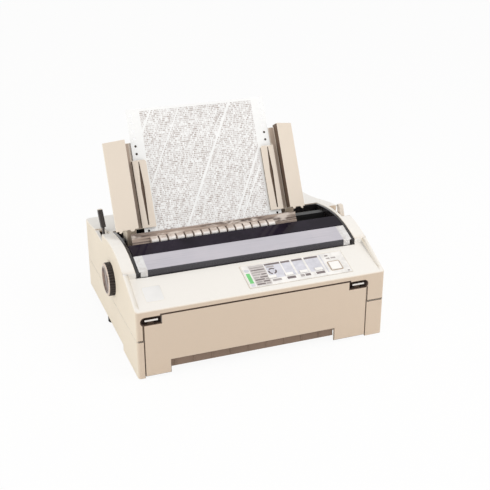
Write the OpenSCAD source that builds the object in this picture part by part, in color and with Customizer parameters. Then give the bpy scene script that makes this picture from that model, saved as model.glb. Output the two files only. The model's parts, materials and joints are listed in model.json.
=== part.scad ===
// Desktop dot matrix printer, built up from its separate pieces.
// Measures inside the modules run from the front face (y), the table (z) and the case centre (x).
// in_place() then sets the finished piece on the origin, below the middle of the whole printer.

/* [Case] */
// Width of the case across its side walls
case_w = 418; // [412:1:430]
// Depth of the case from the front face to the rear wall
case_d = 342; // [338:1:350]
// Thickness of the moulded case walls
wall = 3; // [2.6:0.1:3.4]
// Radius of the upright case corners
corner_r = 5; // [4:0.5:7]
// Height of the underside of the pan above the table
pan_z = 12; // [11:0.5:12.5]
// Height of the lower edge of the front skirts above the table
skirt_z = 1.5; // [1:0.25:2.5]
// Length of the front skirts, from the front face back
skirt_d = 95; // [80:1:110]
// Height of the seam between the lower and the upper case
seam_z = 65; // [62:1:68]
// Shadow gap along that seam
seam_gap = 0.8; // [0.4:0.1:1.2]
// Height of the front edge of the deck
front_h = 115.5; // [114:0.5:118]
// Height of the crown of the arched shoulders
crown_h = 166; // [164:0.5:169]
// Distance of the crown from the front face
crown_y = 150; // [146:1:154]
// Height of the rear edge of the case
rear_h = 139; // [134:1:144]
// Width of the ridge along each side of the deck
ridge_w = 8; // [6:0.5:10]
// Depth of the lever notches in the shoulders
notch_depth = 14; // [12:1:15]
// Width of the lever notches
notch_w = 16; // [15:1:17]
// Length of the lever notches
notch_l = 54; // [50:1:56]
// Start of the left notch, behind the front face
notch_left_y = 211; // [208:1:214]
// Start of the right notch, behind the front face
notch_right_y = 130; // [126:1:132]

/* [Opening and printer cover] */
// Width of the opening in the deck
open_w = 376; // [372:1:380]
// Front edge of the opening, behind the front face
open_y = 70; // [68:1:72]
// Depth of the opening
open_d = 152; // [150:1:154]
// Height of the deck at the front edge of the opening
deck_h = 138; // [136:0.5:140]
// Width of the dark liner round the opening
liner_w = 4.5; // [4:0.25:5]
// Depth to which the liner reaches down
liner_h = 26; // [24:1:28]
// Clearance between the printer cover and the liner
cover_gap = 1; // [0.6:0.1:1.4]
// Thickness of the printer cover
cover_t = 2.5; // [2:0.1:3]
// Depth of the printer cover from front to rear
cover_d = 66; // [64:1:67]
// Height of the upright front lip of the printer cover
cover_lip = 7; // [5:0.5:9]
// Radius of the printer cover's hinge pins
cover_pin_r = 2; // [1.6:0.1:2.4]

/* [Front door] */
// Width of the front door
door_w = 374; // [370:1:378]
// Sideways place of the middle of the door
door_x = -10; // [-12:0.5:-8]
// Height of the upper edge of the door
door_top = 106; // [104:0.5:107]
// Height of the lower edge of the door
door_foot = 4; // [4:0.25:5]
// Thickness of the door panel
door_t = 3; // [2.6:0.1:3.2]
// Gap round the door
door_gap = 0.6; // [0.4:0.1:1]
// Width of each foot of the door, left and right of its notch
door_leg_w = 41; // [38:1:46]
// Height of the door's lower notch
door_notch_z = 26; // [24:0.5:28]
// Radius of the door's hinge pins
door_pin_r = 2.5; // [2:0.1:2.8]
// Width of the latch recesses
latch_w = 32; // [30:0.5:34]
// Height of the latch recesses
latch_h = 12; // [11:0.5:12.5]
// Travel of the door latches
latch_travel = 3; // [2:0.5:3.5]
// Spacing of the ribs on the sill in the door's notch
sill_pitch = 30.5; // [26:0.5:34]

/* [Control panel] */
// Width of the control panel overlay
panel_w = 178; // [174:1:182]
// Depth of the control panel overlay along the deck
panel_d = 51; // [48:1:53]
// Sideways place of the overlay's middle
panel_x = 67; // [64:1:70]
// Distance of the overlay from the front edge of the deck
panel_y = 11.5; // [9:0.5:12]
// Thickness of the overlay
panel_t = 0.8; // [0.6:0.1:1.2]
// Width of the small buttons
button_w = 13.5; // [12:0.5:15]
// Depth of the small buttons
button_d = 6; // [5:0.5:7]
// Side of the square power key
key_w = 18; // [16:0.5:19]
// Height of the buttons above the deck
button_rise = 1.6; // [1.2:0.1:2]
// Travel of the buttons
button_travel = 1; // [0.8:0.1:1.2]

/* [Frames and chassis] */
// Sideways place of the middle of the paper path
path_x = -27; // [-29:0.5:-25]
// Space between the two side frames
frame_gap = 293; // [291:1:295]
// Thickness of the sheet metal
sheet_t = 1.5; // [1.2:0.1:2]
// Height of the chassis plate above the table
base_z = 18; // [17.5:0.5:19]

/* [Platen and paper feed] */
// Radius of the platen roller
platen_r = 18; // [17.5:0.25:18.25]
// Length of the platen roller
platen_l = 250; // [244:1:254]
// Distance of the platen axis behind the front face
platen_y = 150; // [149:0.5:151]
// Height of the platen axis
platen_z = 106; // [105:0.5:107]
// Radius of the platen shaft
shaft_r = 6; // [5:0.25:7]
// Radius of the paper feed knob
knob_r = 27.5; // [25:0.5:29]
// Distance that the knob stands out of the case
knob_proud = 11; // [9:0.5:13]
// Depth of the round recess behind the knob
knob_recess = 2.5; // [1.5:0.25:2.5]
// Radius of the pinch rollers
pinch_r = 6; // [5.5:0.25:6.5]
// Radius of the pinch rollers' shafts
pinch_shaft_r = 2.5; // [2:0.1:3]
// Radial running clearance of shafts in their holes
run_fit = 0.05; // [0.02:0.01:0.08]
// Free gap between pieces that turn or slide past each other
free_gap = 0.4; // [0.35:0.05:0.5]
// Module of the gear teeth
gear_m = 1; // [1:0.01:1.02]
// Width of the gears
gear_w = 6; // [5:0.5:7]

/* [Carriage] */
// Distance of the carriage rod behind the front face
rod_y = 98; // [97:0.5:99]
// Height of the carriage rod
rod_z = 84; // [83:0.5:85]
// Radius of the carriage rod
rod_r = 5; // [4.5:0.25:5.25]
// Length of the carriage block along the rod
carriage_w = 40; // [36:1:42]
// Travel of the carriage
carriage_travel = 200; // [190:1:203]
// Pitch radius of the belt pulleys
pulley_r = 7; // [6.5:0.25:7.5]
// Thickness of the drive belt
belt_t = 1.2; // [1:0.1:1.4]
// Width of the drive belt
belt_w = 5; // [4.5:0.25:5.5]

/* [Paper and paper guide] */
// Width of the continuous form
sheet_w = 241.3; // [236:0.1:242]
// Length of the form that stands above the platen
sheet_l = 260; // [250:1:265]
// Thickness of the form
sheet_thick = 0.3; // [0.2:0.05:0.4]
// Lean of the form and the guides from upright
sheet_lean = 27; // [26:0.5:27.5]
// Distance of the form behind the front face, at crown height
sheet_y = 158; // [158:0.5:159]
// Height of the form's upper edge above the crown, along the form
sheet_up = 211; // [205:1:215]
// Spacing of the sprocket holes
hole_pitch = 12.7; // [12.5:0.1:12.9]
// Radius of the sprocket holes
hole_r = 2; // [1.8:0.1:2.1]
// Distance of the sprocket holes from the form's edge
hole_inset = 7.5; // [6.5:0.05:8]
// Distance of the first sprocket hole from the form's upper edge
hole_first = 10.5; // [6.3:0.1:12]
// Length of the edge guides
guide_l = 146; // [140:1:150]
// Distance of the raised outer part beyond the form's edge
guide_clear = 12; // [11:0.5:12.5]
// Width of the raised outer part of each edge guide
guide_w = 33.5; // [30:0.5:34]
// Depth of the raised outer part at its inner edge
guide_h = 21; // [19:0.5:22]
// How far its front falls back from the inner to the outer edge
guide_fall = 17; // [12:0.5:18]
// Length of the front lips of the edge guides
lip_l = 111; // [104:1:116]
// Reach of the front lips over the form
lip_reach = 20; // [16:0.5:22]
// Outward travel of the edge guides
guide_travel = 8; // [6:0.5:9]

/* [Hidden] */
$fn = 48;

half_w = case_w / 2;
half_open = open_w / 2;
open_rear = open_y + open_d;
seam_top = seam_z + seam_gap;
deck_slope = (deck_h - front_h) / open_y;
deck_angle = atan(deck_slope);
sky = crown_h + 40;
pan_top = pan_z + wall;
base_top = base_z + sheet_t;

// Height of the arched shoulder line at a distance y behind the front face
function rise(t) = pow(sin(90 * t), 1.15);
function fall(t) = pow(sin(90 * t), 2);
function arch(y) = y < crown_y
    ? front_h + (crown_h - front_h) * rise(y / crown_y)
    : crown_h - (crown_h - rear_h) * fall((y - crown_y) / (case_d - crown_y));
arch_steps = 30;
function arch_line(y0, y1, drop) =
    [for (i = [0 : arch_steps]) let (y = y0 + (y1 - y0) * i / arch_steps) [y, arch(y) - drop]];
function deck(y) = front_h + deck_slope * y;

// Door
door_x0 = door_x - door_w / 2;
door_x1 = door_x + door_w / 2;
door_axis_y = 8;
door_axis_z = 11.5;
door_notch_x0 = door_x0 + door_leg_w;
door_notch_x1 = door_x1 - door_leg_w - 15;
latch_z = door_top - 14;
latch_left_x = door_x0 - 4;
latch_right_x = door_x1 + 1 - latch_w;
stem_w = 10;
stem_foot = 60;

// Printer cover
cover_y0 = open_y + 2;
cover_y1 = cover_y0 + cover_d;
cover_half = half_open - liner_w - cover_gap;
cover_axis_y = cover_y1 - 2.5;
cover_axis_z = arch(cover_y1) - cover_t - 3.5;

// Frames, shafts and gears
frame_in = frame_gap / 2;
frame_out = frame_in + sheet_t;
frame_right = path_x + frame_out;
gear_x = frame_right + 2;
pinch_reach = platen_r + pinch_r + free_gap;
pinch_dy = pinch_reach * sin(30);
pinch_z = platen_z - pinch_reach * cos(30);
platen_teeth = 45;
idler_teeth = 30;
pinion_teeth = 15;
tractor_idler_teeth = 28;
tractor_teeth = 30;
function pitch_r(teeth) = teeth * gear_m / 2;
idler_angle = -30;
idler_reach = pitch_r(platen_teeth) + pitch_r(idler_teeth);
idler_y = platen_y + idler_reach * cos(idler_angle);
idler_z = platen_z + idler_reach * sin(idler_angle);
pinion_angle = -60;
pinion_reach = pitch_r(idler_teeth) + pitch_r(pinion_teeth);
pinion_y = idler_y + pinion_reach * cos(pinion_angle);
pinion_z = idler_z + pinion_reach * sin(pinion_angle);
tractor_y = platen_y + 62;
tractor_z = platen_z + 6;
tractor_reach = norm([tractor_y - platen_y, tractor_z - platen_z]);
tractor_dir = atan2(tractor_z - platen_z, tractor_y - platen_y);
ti_a = pitch_r(platen_teeth) + pitch_r(tractor_idler_teeth);
ti_b = pitch_r(tractor_teeth) + pitch_r(tractor_idler_teeth);
ti_turn = acos((ti_a * ti_a + tractor_reach * tractor_reach - ti_b * ti_b) / (2 * ti_a * tractor_reach));
ti_angle = tractor_dir + ti_turn;
ti_y = platen_y + ti_a * cos(ti_angle);
ti_z = platen_z + ti_a * sin(ti_angle);
ti_to_tractor = atan2(tractor_z - ti_z, tractor_y - ti_y);
// Turn of the driven gear that brings a gap to face the tooth of the gear before it
function mesh_phase(dir, phase, teeth, next_teeth) =
    dir + 180 + 180 / next_teeth + (dir - phase) * teeth / next_teeth;
idler_phase = mesh_phase(idler_angle, 0, platen_teeth, idler_teeth);
pinion_phase = mesh_phase(pinion_angle, idler_phase, idler_teeth, pinion_teeth);
ti_phase = mesh_phase(ti_angle, 0, platen_teeth, tractor_idler_teeth);
tractor_phase = mesh_phase(ti_to_tractor, ti_phase, tractor_idler_teeth, tractor_teeth);
stud_r = 3;

// Tractors
tractor_rod_r = 3.5;
rod2_y = tractor_y + 16;
rod2_z = tractor_z - 6;
tractor_off = sheet_w / 2 - hole_inset;
tractor_w = 16;
tractor_top = tractor_z + 14;
lid_axis_x = tractor_off + tractor_w / 2 + 2;
lid_axis_z = tractor_top + 1.6;
lid_pin_r = 1.2;

// Carriage and belt
home_x = path_x - carriage_travel / 2;
pulley_off = 133;
belt_y = 70;
belt_z = rod_z - 16;
belt_in = pulley_r + free_gap;
head_half = 14;
nose_y = platen_y - platen_r - 1.4;
ribbon_y = nose_y + 0.35;
ribbon_t = 0.25;
cart_half = platen_l / 2 + 3;
cart_arm_w = 9;
chute_out = cart_half - 1;
bracket_out = pulley_off + 12;
cart_z = rod_z + 28;
cart_h = 16;
motor_y1 = belt_y - 4;
motor_l = 26;
carriage_motor_r = 18;

// Paper path
guide_wall_x = sheet_w / 2 + guide_clear;
guide_lip_in = sheet_w / 2 - lip_reach;
web_x = sheet_w / 2 + 1;
guide_foot = 15;
guide_back = 6;
guide_skin = 2.4;
groove_floor = 1;
lobe_r = 3.4;
lip_t = 3.5;
lip_gap = 1.4;
rail_y = sheet_y + 22;
rail_z = crown_h - 22;
rail_s = 12;
arm_w = 16;
arm_in = guide_wall_x - 1;
release_y = 232;
release_z = 84;
release_r = 3;
lever_x = half_w - 9;

// Helpers
module in_place() {
    translate([knob_proud / 2, -case_d / 2, 0]) children();
}
module block(x0, x1, y0, y1, z0, z1) {
    translate([x0, y0, z0]) cube([x1 - x0, y1 - y0, z1 - z0]);
}
module rod_along_x(r, x0, x1, y, z) {
    translate([x0, y, z]) rotate([0, 90, 0]) cylinder(r = r, h = x1 - x0);
}
module rod_along_y(r, y0, y1, x, z) {
    translate([x, y0, z]) rotate([-90, 0, 0]) cylinder(r = r, h = y1 - y0);
}
module side_prism(x0, x1, points) {
    translate([x0, 0, 0]) rotate([90, 0, 90]) linear_extrude(x1 - x0) polygon(points);
}
module plan(inset, z0, z1) {
    r = corner_r - inset * 0.5;
    w = case_w - 2 * inset;
    d = case_d - 2 * inset;
    translate([0, 0, z0]) linear_extrude(z1 - z0) union() {
        translate([-w / 2 + r, inset]) square([w - 2 * r, d]);
        translate([-w / 2, inset + r]) square([w, d - 2 * r]);
        for (x = [-w / 2 + r, w / 2 - r], y = [inset + r, inset + d - r]) translate([x, y]) circle(r);
    }
}
module on_deck() {
    translate([0, 0, front_h]) rotate([deck_angle, 0, 0]) children();
}
// The leaning plane of the paper: y < 0 is in front of the form, z runs up along it
module on_form() {
    translate([path_x, sheet_y, crown_h]) rotate([-sheet_lean, 0, 0]) children();
}
// Ring of trapezoid teeth round a hub, lying in XY and rising along Z
module gear(teeth, width, bore) {
    r = pitch_r(teeth);
    root = r - 1.15 * gear_m;
    tip = r + 0.85 * gear_m;
    root_a = 0.98 * gear_m / root * 57.3;
    pitch_a = 0.66 * gear_m / r * 57.3;
    tip_a = 0.3 * gear_m / tip * 57.3;
    linear_extrude(width) difference() {
        polygon([for (i = [0 : teeth - 1], k = [[root, -root_a], [r, -pitch_a], [tip, -tip_a],
            [tip, tip_a], [r, pitch_a], [root, root_a]])
            k[0] * [cos(360 * i / teeth + k[1]), sin(360 * i / teeth + k[1])]]);
        circle(bore);
    }
}
// A gear on an axis along X whose tooth 0 stands at the angle phase above +Y
module gear_at(y, z, teeth, phase, bore) {
    translate([gear_x, y, z]) rotate([90, 0, 90]) rotate([0, 0, phase]) gear(teeth, gear_w, bore);
}

// Outer form of the upper case: deck, arched shoulders and rear
module upper_form() {
    intersection() {
        plan(0, seam_top, sky);
        union() {
            side_prism(-half_w, half_w, concat([[0, seam_top], [0, front_h], [open_y, deck_h]],
                arch_line(open_y, case_d, 0), [[case_d, seam_top]]));
            for (x = [-half_w, half_w - ridge_w])
                side_prism(x, x + ridge_w, concat([[0, seam_top]], arch_line(0, case_d, 0), [[case_d, seam_top]]));
        }
    }
}
module upper_hollow() {
    intersection() {
        plan(wall, seam_z - 1, sky);
        side_prism(-half_w, half_w, concat([[0, seam_z - 1], [0, front_h - wall], [open_y + wall, deck(open_y + wall) - wall]],
            arch_line(open_y + wall, case_d, wall), [[case_d, seam_z - 1]]));
    }
}
module notch_block(side, y) {
    x0 = side > 0 ? half_w - notch_w - wall : -half_w;
    intersection() {
        block(x0, x0 + notch_w + wall, y - wall, y + notch_l + wall, arch(y) - notch_depth - wall, sky);
        upper_form();
    }
}
module notch_cut(side, y) {
    x0 = side > 0 ? half_w - notch_w : -half_w - 1;
    block(x0, x0 + notch_w + 1, y, y + notch_l, arch(y) - notch_depth, sky);
    block(side * lever_x - 4, side * lever_x + 4, y + 3, y + notch_l - 3, arch(y) - notch_depth - wall - 1, sky);
}
// Outline of the door, seen from the front, with the corners left out for the latches
module door_face(grow) {
    polygon([[door_x0 - grow, door_foot - grow], [door_x1 + grow, door_foot - grow],
        [door_x1 + grow, latch_z + grow], [latch_right_x + grow, latch_z + grow],
        [latch_right_x + grow, door_top + grow], [latch_left_x + latch_w - grow, door_top + grow],
        [latch_left_x + latch_w - grow, latch_z + grow], [door_x0 - grow, latch_z + grow]]);
}
module door_slab(grow, y0, y1) {
    translate([0, y1, 0]) rotate([90, 0, 0]) linear_extrude(y1 - y0) door_face(grow);
}
// Recess with one round end, open towards the door
module latch_pocket(x0, grow, y0, y1) {
    r = latch_h / 2 + grow;
    z = latch_z + latch_h / 2;
    left = x0 < 0;
    rod_along_y(r, y0, y1, left ? x0 + latch_h / 2 : x0 + latch_w - latch_h / 2, z);
    block(left ? x0 + latch_h / 2 : x0 - grow, left ? x0 + latch_w + grow : x0 + latch_w - latch_h / 2,
        y0, y1, z - r, z + r);
}
boss_places = [[-half_w + 14, 34], [half_w - 14, 34], [-half_w + 14, case_d - 20], [half_w - 14, case_d - 20]];
module upper_case() {
    color("AntiqueWhite") in_place() difference() {
        union() {
            difference() {
                upper_form();
                upper_hollow();
            }
            notch_block(-1, notch_left_y);
            notch_block(1, notch_right_y);
            rod_along_x(knob_r + 6, -half_w + wall / 2, -half_w + wall + knob_recess, platen_y, platen_z);
            for (x0 = [latch_left_x, latch_right_x]) intersection() {
                upper_form();
                union() {
                    latch_pocket(x0, 2, door_t + free_gap, 13);
                    block(x0, x0 + latch_w, door_t + free_gap, 13, latch_z + latch_h - 1, front_h + 3);
                }
            }
            intersection() {
                upper_form();
                for (p = boss_places) translate([p[0], p[1], seam_z]) cylinder(r = 5, h = sky);
            }
        }
        block(-half_open, half_open, open_y, open_rear, deck_h - wall - 8, sky);
        door_slab(door_gap, -1, door_t + free_gap);
        for (x0 = [latch_left_x, latch_right_x]) {
            latch_pocket(x0, 0, -1, 11);
            block(x0 + latch_w / 2 - stem_w / 2 - 1, x0 + latch_w / 2 + stem_w / 2 + 1, -1, 10.5,
                latch_z - 4, latch_z + 1);
        }
        notch_cut(-1, notch_left_y);
        notch_cut(1, notch_right_y);
        rod_along_x(knob_r + 3, -half_w - 1, -half_w + knob_recess, platen_y, platen_z);
        rod_along_x(shaft_r + 2, -half_w - 1, -half_w + 20, platen_y, platen_z);
        on_deck() translate([panel_x - panel_w / 2, panel_y, -panel_t]) cube([panel_w, panel_d, 10]);
        panel_holes(0.4);
        for (p = boss_places) translate([p[0], p[1], seam_z - 1]) cylinder(r = 1.5, h = 16);
        for (i = [-7 : 7]) block(i * 14 - 2.5, i * 14 + 2.5, case_d - wall - 1, case_d + 1, 84, 112);
        for (x = [-half_open - 8, half_open - 1])
            rod_along_x(cover_pin_r + run_fit, x, x + 9, cover_axis_y, cover_axis_z);
    }
}

// Lower case: pan, walls, front skirts, ribbed sill and door hinge posts
module lower_walls(z0, z1, y0, y1) {
    intersection() {
        difference() {
            plan(0, z0, z1);
            plan(wall, z0 - 1, z1 + 1);
        }
        block(-case_w, case_w, y0, y1, z0, z1);
    }
}
foot_places = [for (x = [-1, 1], y = [45, 205, case_d - 24]) [x * (half_w - (y == 205 ? 10 : 26)), y]];
pad_places = [for (x = [-150, 0, 150], y = [100, case_d - 60]) [x, y]];
lip_h = 4;
module lower_case() {
    sill_x0 = door_notch_x0 + 1;
    sill_x1 = door_notch_x1 - 1;
    color("AntiqueWhite") in_place() difference() {
        union() {
            intersection() {
                plan(0, pan_z, pan_top);
                block(-case_w, case_w, 4, case_d, pan_z, pan_top);
            }
            lower_walls(pan_z, seam_z, 0, case_d);
            lower_walls(skirt_z, pan_z, 0, skirt_d);
            difference() {
                plan(wall, seam_z - lip_h, seam_z + lip_h);
                plan(wall + 1.4, seam_z - lip_h - 1, seam_z + lip_h + 1);
                block(-case_w, case_w, -1, 24, 0, sky);
            }
            block(sill_x0, sill_x1, 4, 7, pan_z, door_notch_z + 2);
            for (i = [-5 : 5]) block(path_x + i * sill_pitch - 0.75, path_x + i * sill_pitch + 0.75,
                3, 4, pan_z + 1, door_notch_z + 1);
            block(-half_w + wall, door_x0 - door_gap, wall, 16, 4, 20);
            block(door_x1 + door_gap, door_x1 + 13, wall, 16, 4, 20);
            for (p = pad_places) translate([p[0], p[1], pan_top]) cylinder(r = 7, h = base_z - pan_top);
            for (p = boss_places) translate([p[0], p[1], pan_z]) cylinder(r = 5, h = seam_z - pan_z);
        }
        block(door_x0 - door_gap, door_notch_x0 + 0.5, -1, 20, 0, sky);
        block(door_notch_x1 - 0.5, door_x1 + door_gap, -1, 20, 0, sky);
        block(door_x0 - door_gap, door_x1 + door_gap, -1, door_t, 0, sky);
        block(door_x0 - door_gap, door_x1 + door_gap, -1, 20, door_notch_z + 2, sky);
        for (x = [-half_w + wall - 1, door_x1])
            rod_along_x(door_pin_r + run_fit, x, x + 16, door_axis_y, door_axis_z);
        for (p = boss_places) translate([p[0], p[1], pan_z - 1]) {
            cylinder(r = 1.8, h = seam_z);
            cylinder(r = 3.6, h = 9);
        }
        block(inlet_x - inlet_w / 2, inlet_x + inlet_w / 2, case_d - 8, case_d + 1, inlet_z, inlet_z + inlet_h);
        block(plug_x - plug_w / 2, plug_x + plug_w / 2, case_d - 8, case_d + 1, plug_z, plug_z + plug_h);
        for (p = foot_places) translate([p[0], p[1], pan_z - 1]) cylinder(r = foot_r - 3, h = 3);
    }
}
foot_r = 9;
module rubber_feet() {
    color("DimGray") in_place() for (p = foot_places) translate([p[0], p[1], 0]) {
        cylinder(r = foot_r, h = pan_z);
        translate([0, 0, pan_z - 0.5]) cylinder(r = foot_r - 3.1, h = 2.3);
    }
}
module case_screws() {
    color("Silver") in_place() for (p = boss_places) translate([p[0], p[1], 0]) {
        translate([0, 0, pan_z + 5]) cylinder(r = 3.2, h = 3);
        translate([0, 0, pan_z + 8]) cylinder(r = 1.45, h = seam_z - pan_z + 4);
    }
}

// Dark liner round the opening
module opening_liner() {
    color("DarkSlateGray") in_place() difference() {
        intersection() {
            side_prism(-half_open, half_open, concat(
                [[open_y, deck_h - wall - 6], [open_y, deck_h - 1]],
                arch_line(open_y + 0.5, open_rear, 1),
                [for (i = [arch_steps : -1 : 0]) let (y = open_y + open_d * i / arch_steps) [y, arch(y) - liner_h]]));
            block(-half_open, half_open, open_y, open_rear, 0, sky);
        }
        block(-half_open + liner_w, half_open - liner_w, open_y + 5, open_rear - 5, 0, sky);
        block(-half_open + liner_w, half_open - liner_w, open_y - 1, open_y + 6, deck_h - 4, sky);
        block(-half_open + liner_w, half_open - liner_w, open_rear - 6, open_rear + 1, 0, arch(open_rear) - 12);
        for (x = [-half_open - 1, half_open - liner_w - 1])
            rod_along_x(cover_pin_r + run_fit, x, x + liner_w + 2, cover_axis_y, cover_axis_z);
    }
    color("DarkSlateGray") in_place() for (x = [-half_open + liner_w - 1, half_open - liner_w - 6])
        block(x, x + 7, rail_y - 2, rail_y + rail_s + 2, rail_z - 5, rail_z);
}

// Smoked cover over the ribbon and the print head, hinged along its rear edge
module printer_cover() {
    color([0.35, 0.36, 0.42, 0.6]) in_place() {
        difference() {
            side_prism(-cover_half, cover_half, concat([[cover_y0, deck_h - 1]],
                arch_line(cover_y0, cover_y1, 0), [[cover_y1, arch(cover_y1) - 6]]));
            side_prism(-cover_half + cover_t, cover_half - cover_t, concat([[cover_y0 + cover_t, 0]],
                [for (i = [0 : arch_steps]) let (y = cover_y0 + cover_t + (cover_d + 1 - cover_t) * i / arch_steps)
                    [y, arch(y) - cover_t]], [[cover_y1 + 1, 0]]));
            side_prism(-case_w, case_w, [[cover_y0 - 1, deck_h - 20], [cover_y0 - 1, deck_h - 1],
                [cover_y0 + cover_t, deck_h - 1], [cover_y1 - 10, cover_axis_z - 4], [cover_y1 + 1, cover_axis_z - 4],
                [cover_y1 + 1, deck_h - 20]]);
        }
        for (s = [-1, 1]) {
            rod_along_x(4, s > 0 ? cover_half - 5 : -cover_half, s > 0 ? cover_half : -cover_half + 5,
                cover_axis_y, cover_axis_z);
            rod_along_x(cover_pin_r, s > 0 ? cover_half - 1 : -half_open - 1, s > 0 ? half_open + 1 : -cover_half + 1,
                cover_axis_y, cover_axis_z);
        }
    }
}

// Front door with its two feet, hinge bosses and latch guides
module front_door() {
    color("AntiqueWhite") in_place() difference() {
        union() {
            door_slab(0, 0, door_t);
            for (x = [door_x0, door_x1 - 10]) {
                rod_along_x(5, x, x + 10, door_axis_y, door_axis_z);
                block(x, x + 10, door_t - 1, door_axis_y, door_axis_z - 5, door_axis_z + 5);
            }
            rod_along_x(door_pin_r, door_x0 - 6, door_x0 + 1, door_axis_y, door_axis_z);
            rod_along_x(door_pin_r, door_x1 - 1, door_x1 + 8, door_axis_y, door_axis_z);
            for (x0 = [latch_left_x, latch_right_x]) difference() {
                block(x0 + latch_w / 2 - stem_w / 2 - 3, x0 + latch_w / 2 + stem_w / 2 + 3,
                    door_t - 0.5, 11, stem_foot - 6, latch_z - 5);
                block(x0 + latch_w / 2 - stem_w / 2 - free_gap, x0 + latch_w / 2 + stem_w / 2 + free_gap,
                    5, 9.4, stem_foot - 4, latch_z);
            }
        }
        block(door_notch_x0, door_notch_x1, -1, 12, 0, door_notch_z);
    }
}
module door_latch(x0) {
    color("Ivory") in_place() {
        block(x0 + 6, x0 + latch_w - 5, 2, 9, latch_z + 5, latch_z + 8);
        block(x0 + latch_w / 2 - stem_w / 2, x0 + latch_w / 2 + stem_w / 2, 5.4, 9, stem_foot, latch_z + 6);
    }
}
module door_latch_left() { door_latch(latch_left_x); }
module door_latch_right() { door_latch(latch_right_x); }

// Control panel
button_x = [22, 51, 76.5, 103];
button_y = 29;
key_x = 133;
key_y = 31;
module button_spot(x, y) {
    on_deck() translate([x, y, 0]) children();
}
module panel_holes(grow) {
    for (x = button_x) button_spot(x, button_y)
        translate([-button_w / 2 - grow, -button_d / 2 - grow, -12]) cube([button_w + 2 * grow, button_d + 2 * grow, 30]);
    button_spot(key_x, key_y)
        translate([-key_w / 2 - grow, -key_w / 2 - grow, -12]) cube([key_w + 2 * grow, key_w + 2 * grow, 30]);
}
module panel_inlay() {
    color("LightSteelBlue") in_place() difference() {
        on_deck() translate([panel_x - panel_w / 2 + 0.2, panel_y + 0.2, -panel_t])
            cube([panel_w - 0.4, panel_d - 0.4, panel_t + 0.3]);
        panel_holes(0.5);
    }
}
board_drop = 12;
module panel_board() {
    color("DarkGreen") in_place() on_deck() {
        translate([panel_x - panel_w / 2 + 4, panel_y + 4, -board_drop]) cube([panel_w - 8, panel_d - 12, 1.6]);
        for (x = button_x) translate([x - 3, button_y - 3, -board_drop + 1.6]) cube([6, 6, 3.5]);
        translate([key_x - 6, key_y - 6, -board_drop + 1.6]) cube([12, 12, 3.5]);
        for (x = [panel_x - panel_w / 2 + 9, panel_x + panel_w / 2 - 9])
            translate([x, panel_y + panel_d - 14, -board_drop + 1.6])
                cylinder(r = 3, h = board_drop - 1.6 - wall * cos(deck_angle));
    }
}
button_stem = board_drop - 1.6 - 3.5 - button_travel - 0.3;
module push_button(x, y, w, d, tone) {
    color(tone) in_place() button_spot(x, y) {
        translate([-w / 2, -d / 2, -wall - 0.5]) cube([w, d, wall + 0.5 + button_rise]);
        translate([-2, -2, -button_stem]) cube([4, 4, button_stem]);
    }
}
module font_button() { push_button(button_x[0], button_y, button_w, button_d, "White"); }
module pitch_button() { push_button(button_x[1], button_y, button_w, button_d, "White"); }
module line_feed_button() { push_button(button_x[2], button_y, button_w, button_d, "White"); }
module pause_button() { push_button(button_x[3], button_y, button_w, button_d, "White"); }
module power_key() { push_button(key_x, key_y, key_w, key_w, "Ivory"); }

// Chassis
module base_plate() {
    color("Silver") in_place() difference() {
        union() {
            block(-half_w + 24, half_w - 24, 56, case_d - 12, base_z, base_top);
            block(path_x + chute_out + 1, path_x + bracket_out, motor_y1, motor_y1 + sheet_t, base_z, belt_z + 20);
            block(path_x + pulley_off - 24, path_x + bracket_out, motor_y1, motor_y1 + sheet_t,
                belt_z - carriage_motor_r, belt_z + 20);
            block(path_x - bracket_out, path_x - chute_out - 1, motor_y1, motor_y1 + sheet_t, base_z, belt_z + 12);
            rod_along_y(2.5, motor_y1, belt_y + belt_w + 3, path_x - pulley_off, belt_z);
        }
        rod_along_y(8, motor_y1 - 1, motor_y1 + 3, path_x + pulley_off, belt_z);
    }
}
frame_top = crown_h - 16;
frame_step = platen_z + 22;
frame_y0 = rod_y - 18;
frame_y1 = tractor_y + 54;
frame_outline = [[frame_y0, base_top], [frame_y0, rod_z + 16], [frame_y0 + 16, platen_z + 26],
    [platen_y - 30, frame_top], [platen_y + 20, frame_top], [platen_y + 30, frame_step],
    [frame_y1, frame_step], [frame_y1, base_top]];
frame_feet = [frame_y0 + 12, frame_y1 - 66];
module frame_plate(x0) {
    difference() {
        side_prism(x0, x0 + sheet_t, frame_outline);
        rod_along_x(shaft_r + 3, x0 - 1, x0 + 3, platen_y, platen_z);
        rod_along_x(rod_r, x0 - 1, x0 + 3, rod_y, rod_z);
        for (s = [-1, 1])
            rod_along_x(pinch_shaft_r + run_fit, x0 - 1, x0 + 3, platen_y + s * pinch_dy, pinch_z);
        rod_along_x(tractor_shaft_r + run_fit, x0 - 1, x0 + 3, tractor_y, tractor_z);
        rod_along_x(tractor_rod_r, x0 - 1, x0 + 3, rod2_y, rod2_z);
        rod_along_x(release_r + run_fit, x0 - 1, x0 + 3, release_y, release_z);
    }
}
tractor_shaft_r = 4;
module side_frame_left() {
    color("Gainsboro") in_place() {
        frame_plate(path_x - frame_out);
        for (y = frame_feet) block(path_x - frame_out - 14, path_x - frame_in, y, y + 14, base_top, base_top + sheet_t);
    }
}
module side_frame_right() {
    color("Gainsboro") in_place() {
        difference() {
            frame_plate(path_x + frame_in);
            rod_along_x(5, path_x + frame_in - 1, frame_right + 1, pinion_y, pinion_z);
        }
        for (y = frame_feet) block(path_x + frame_in, frame_right + 14, y, y + 14, base_top, base_top + sheet_t);
        for (p = [[idler_y, idler_z], [ti_y, ti_z]]) {
            rod_along_x(stud_r, frame_right - 0.5, gear_x + gear_w + 2, p[0], p[1]);
            rod_along_x(stud_r + 2, frame_right - 0.5, gear_x - free_gap, p[0], p[1]);
        }
    }
}

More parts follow.
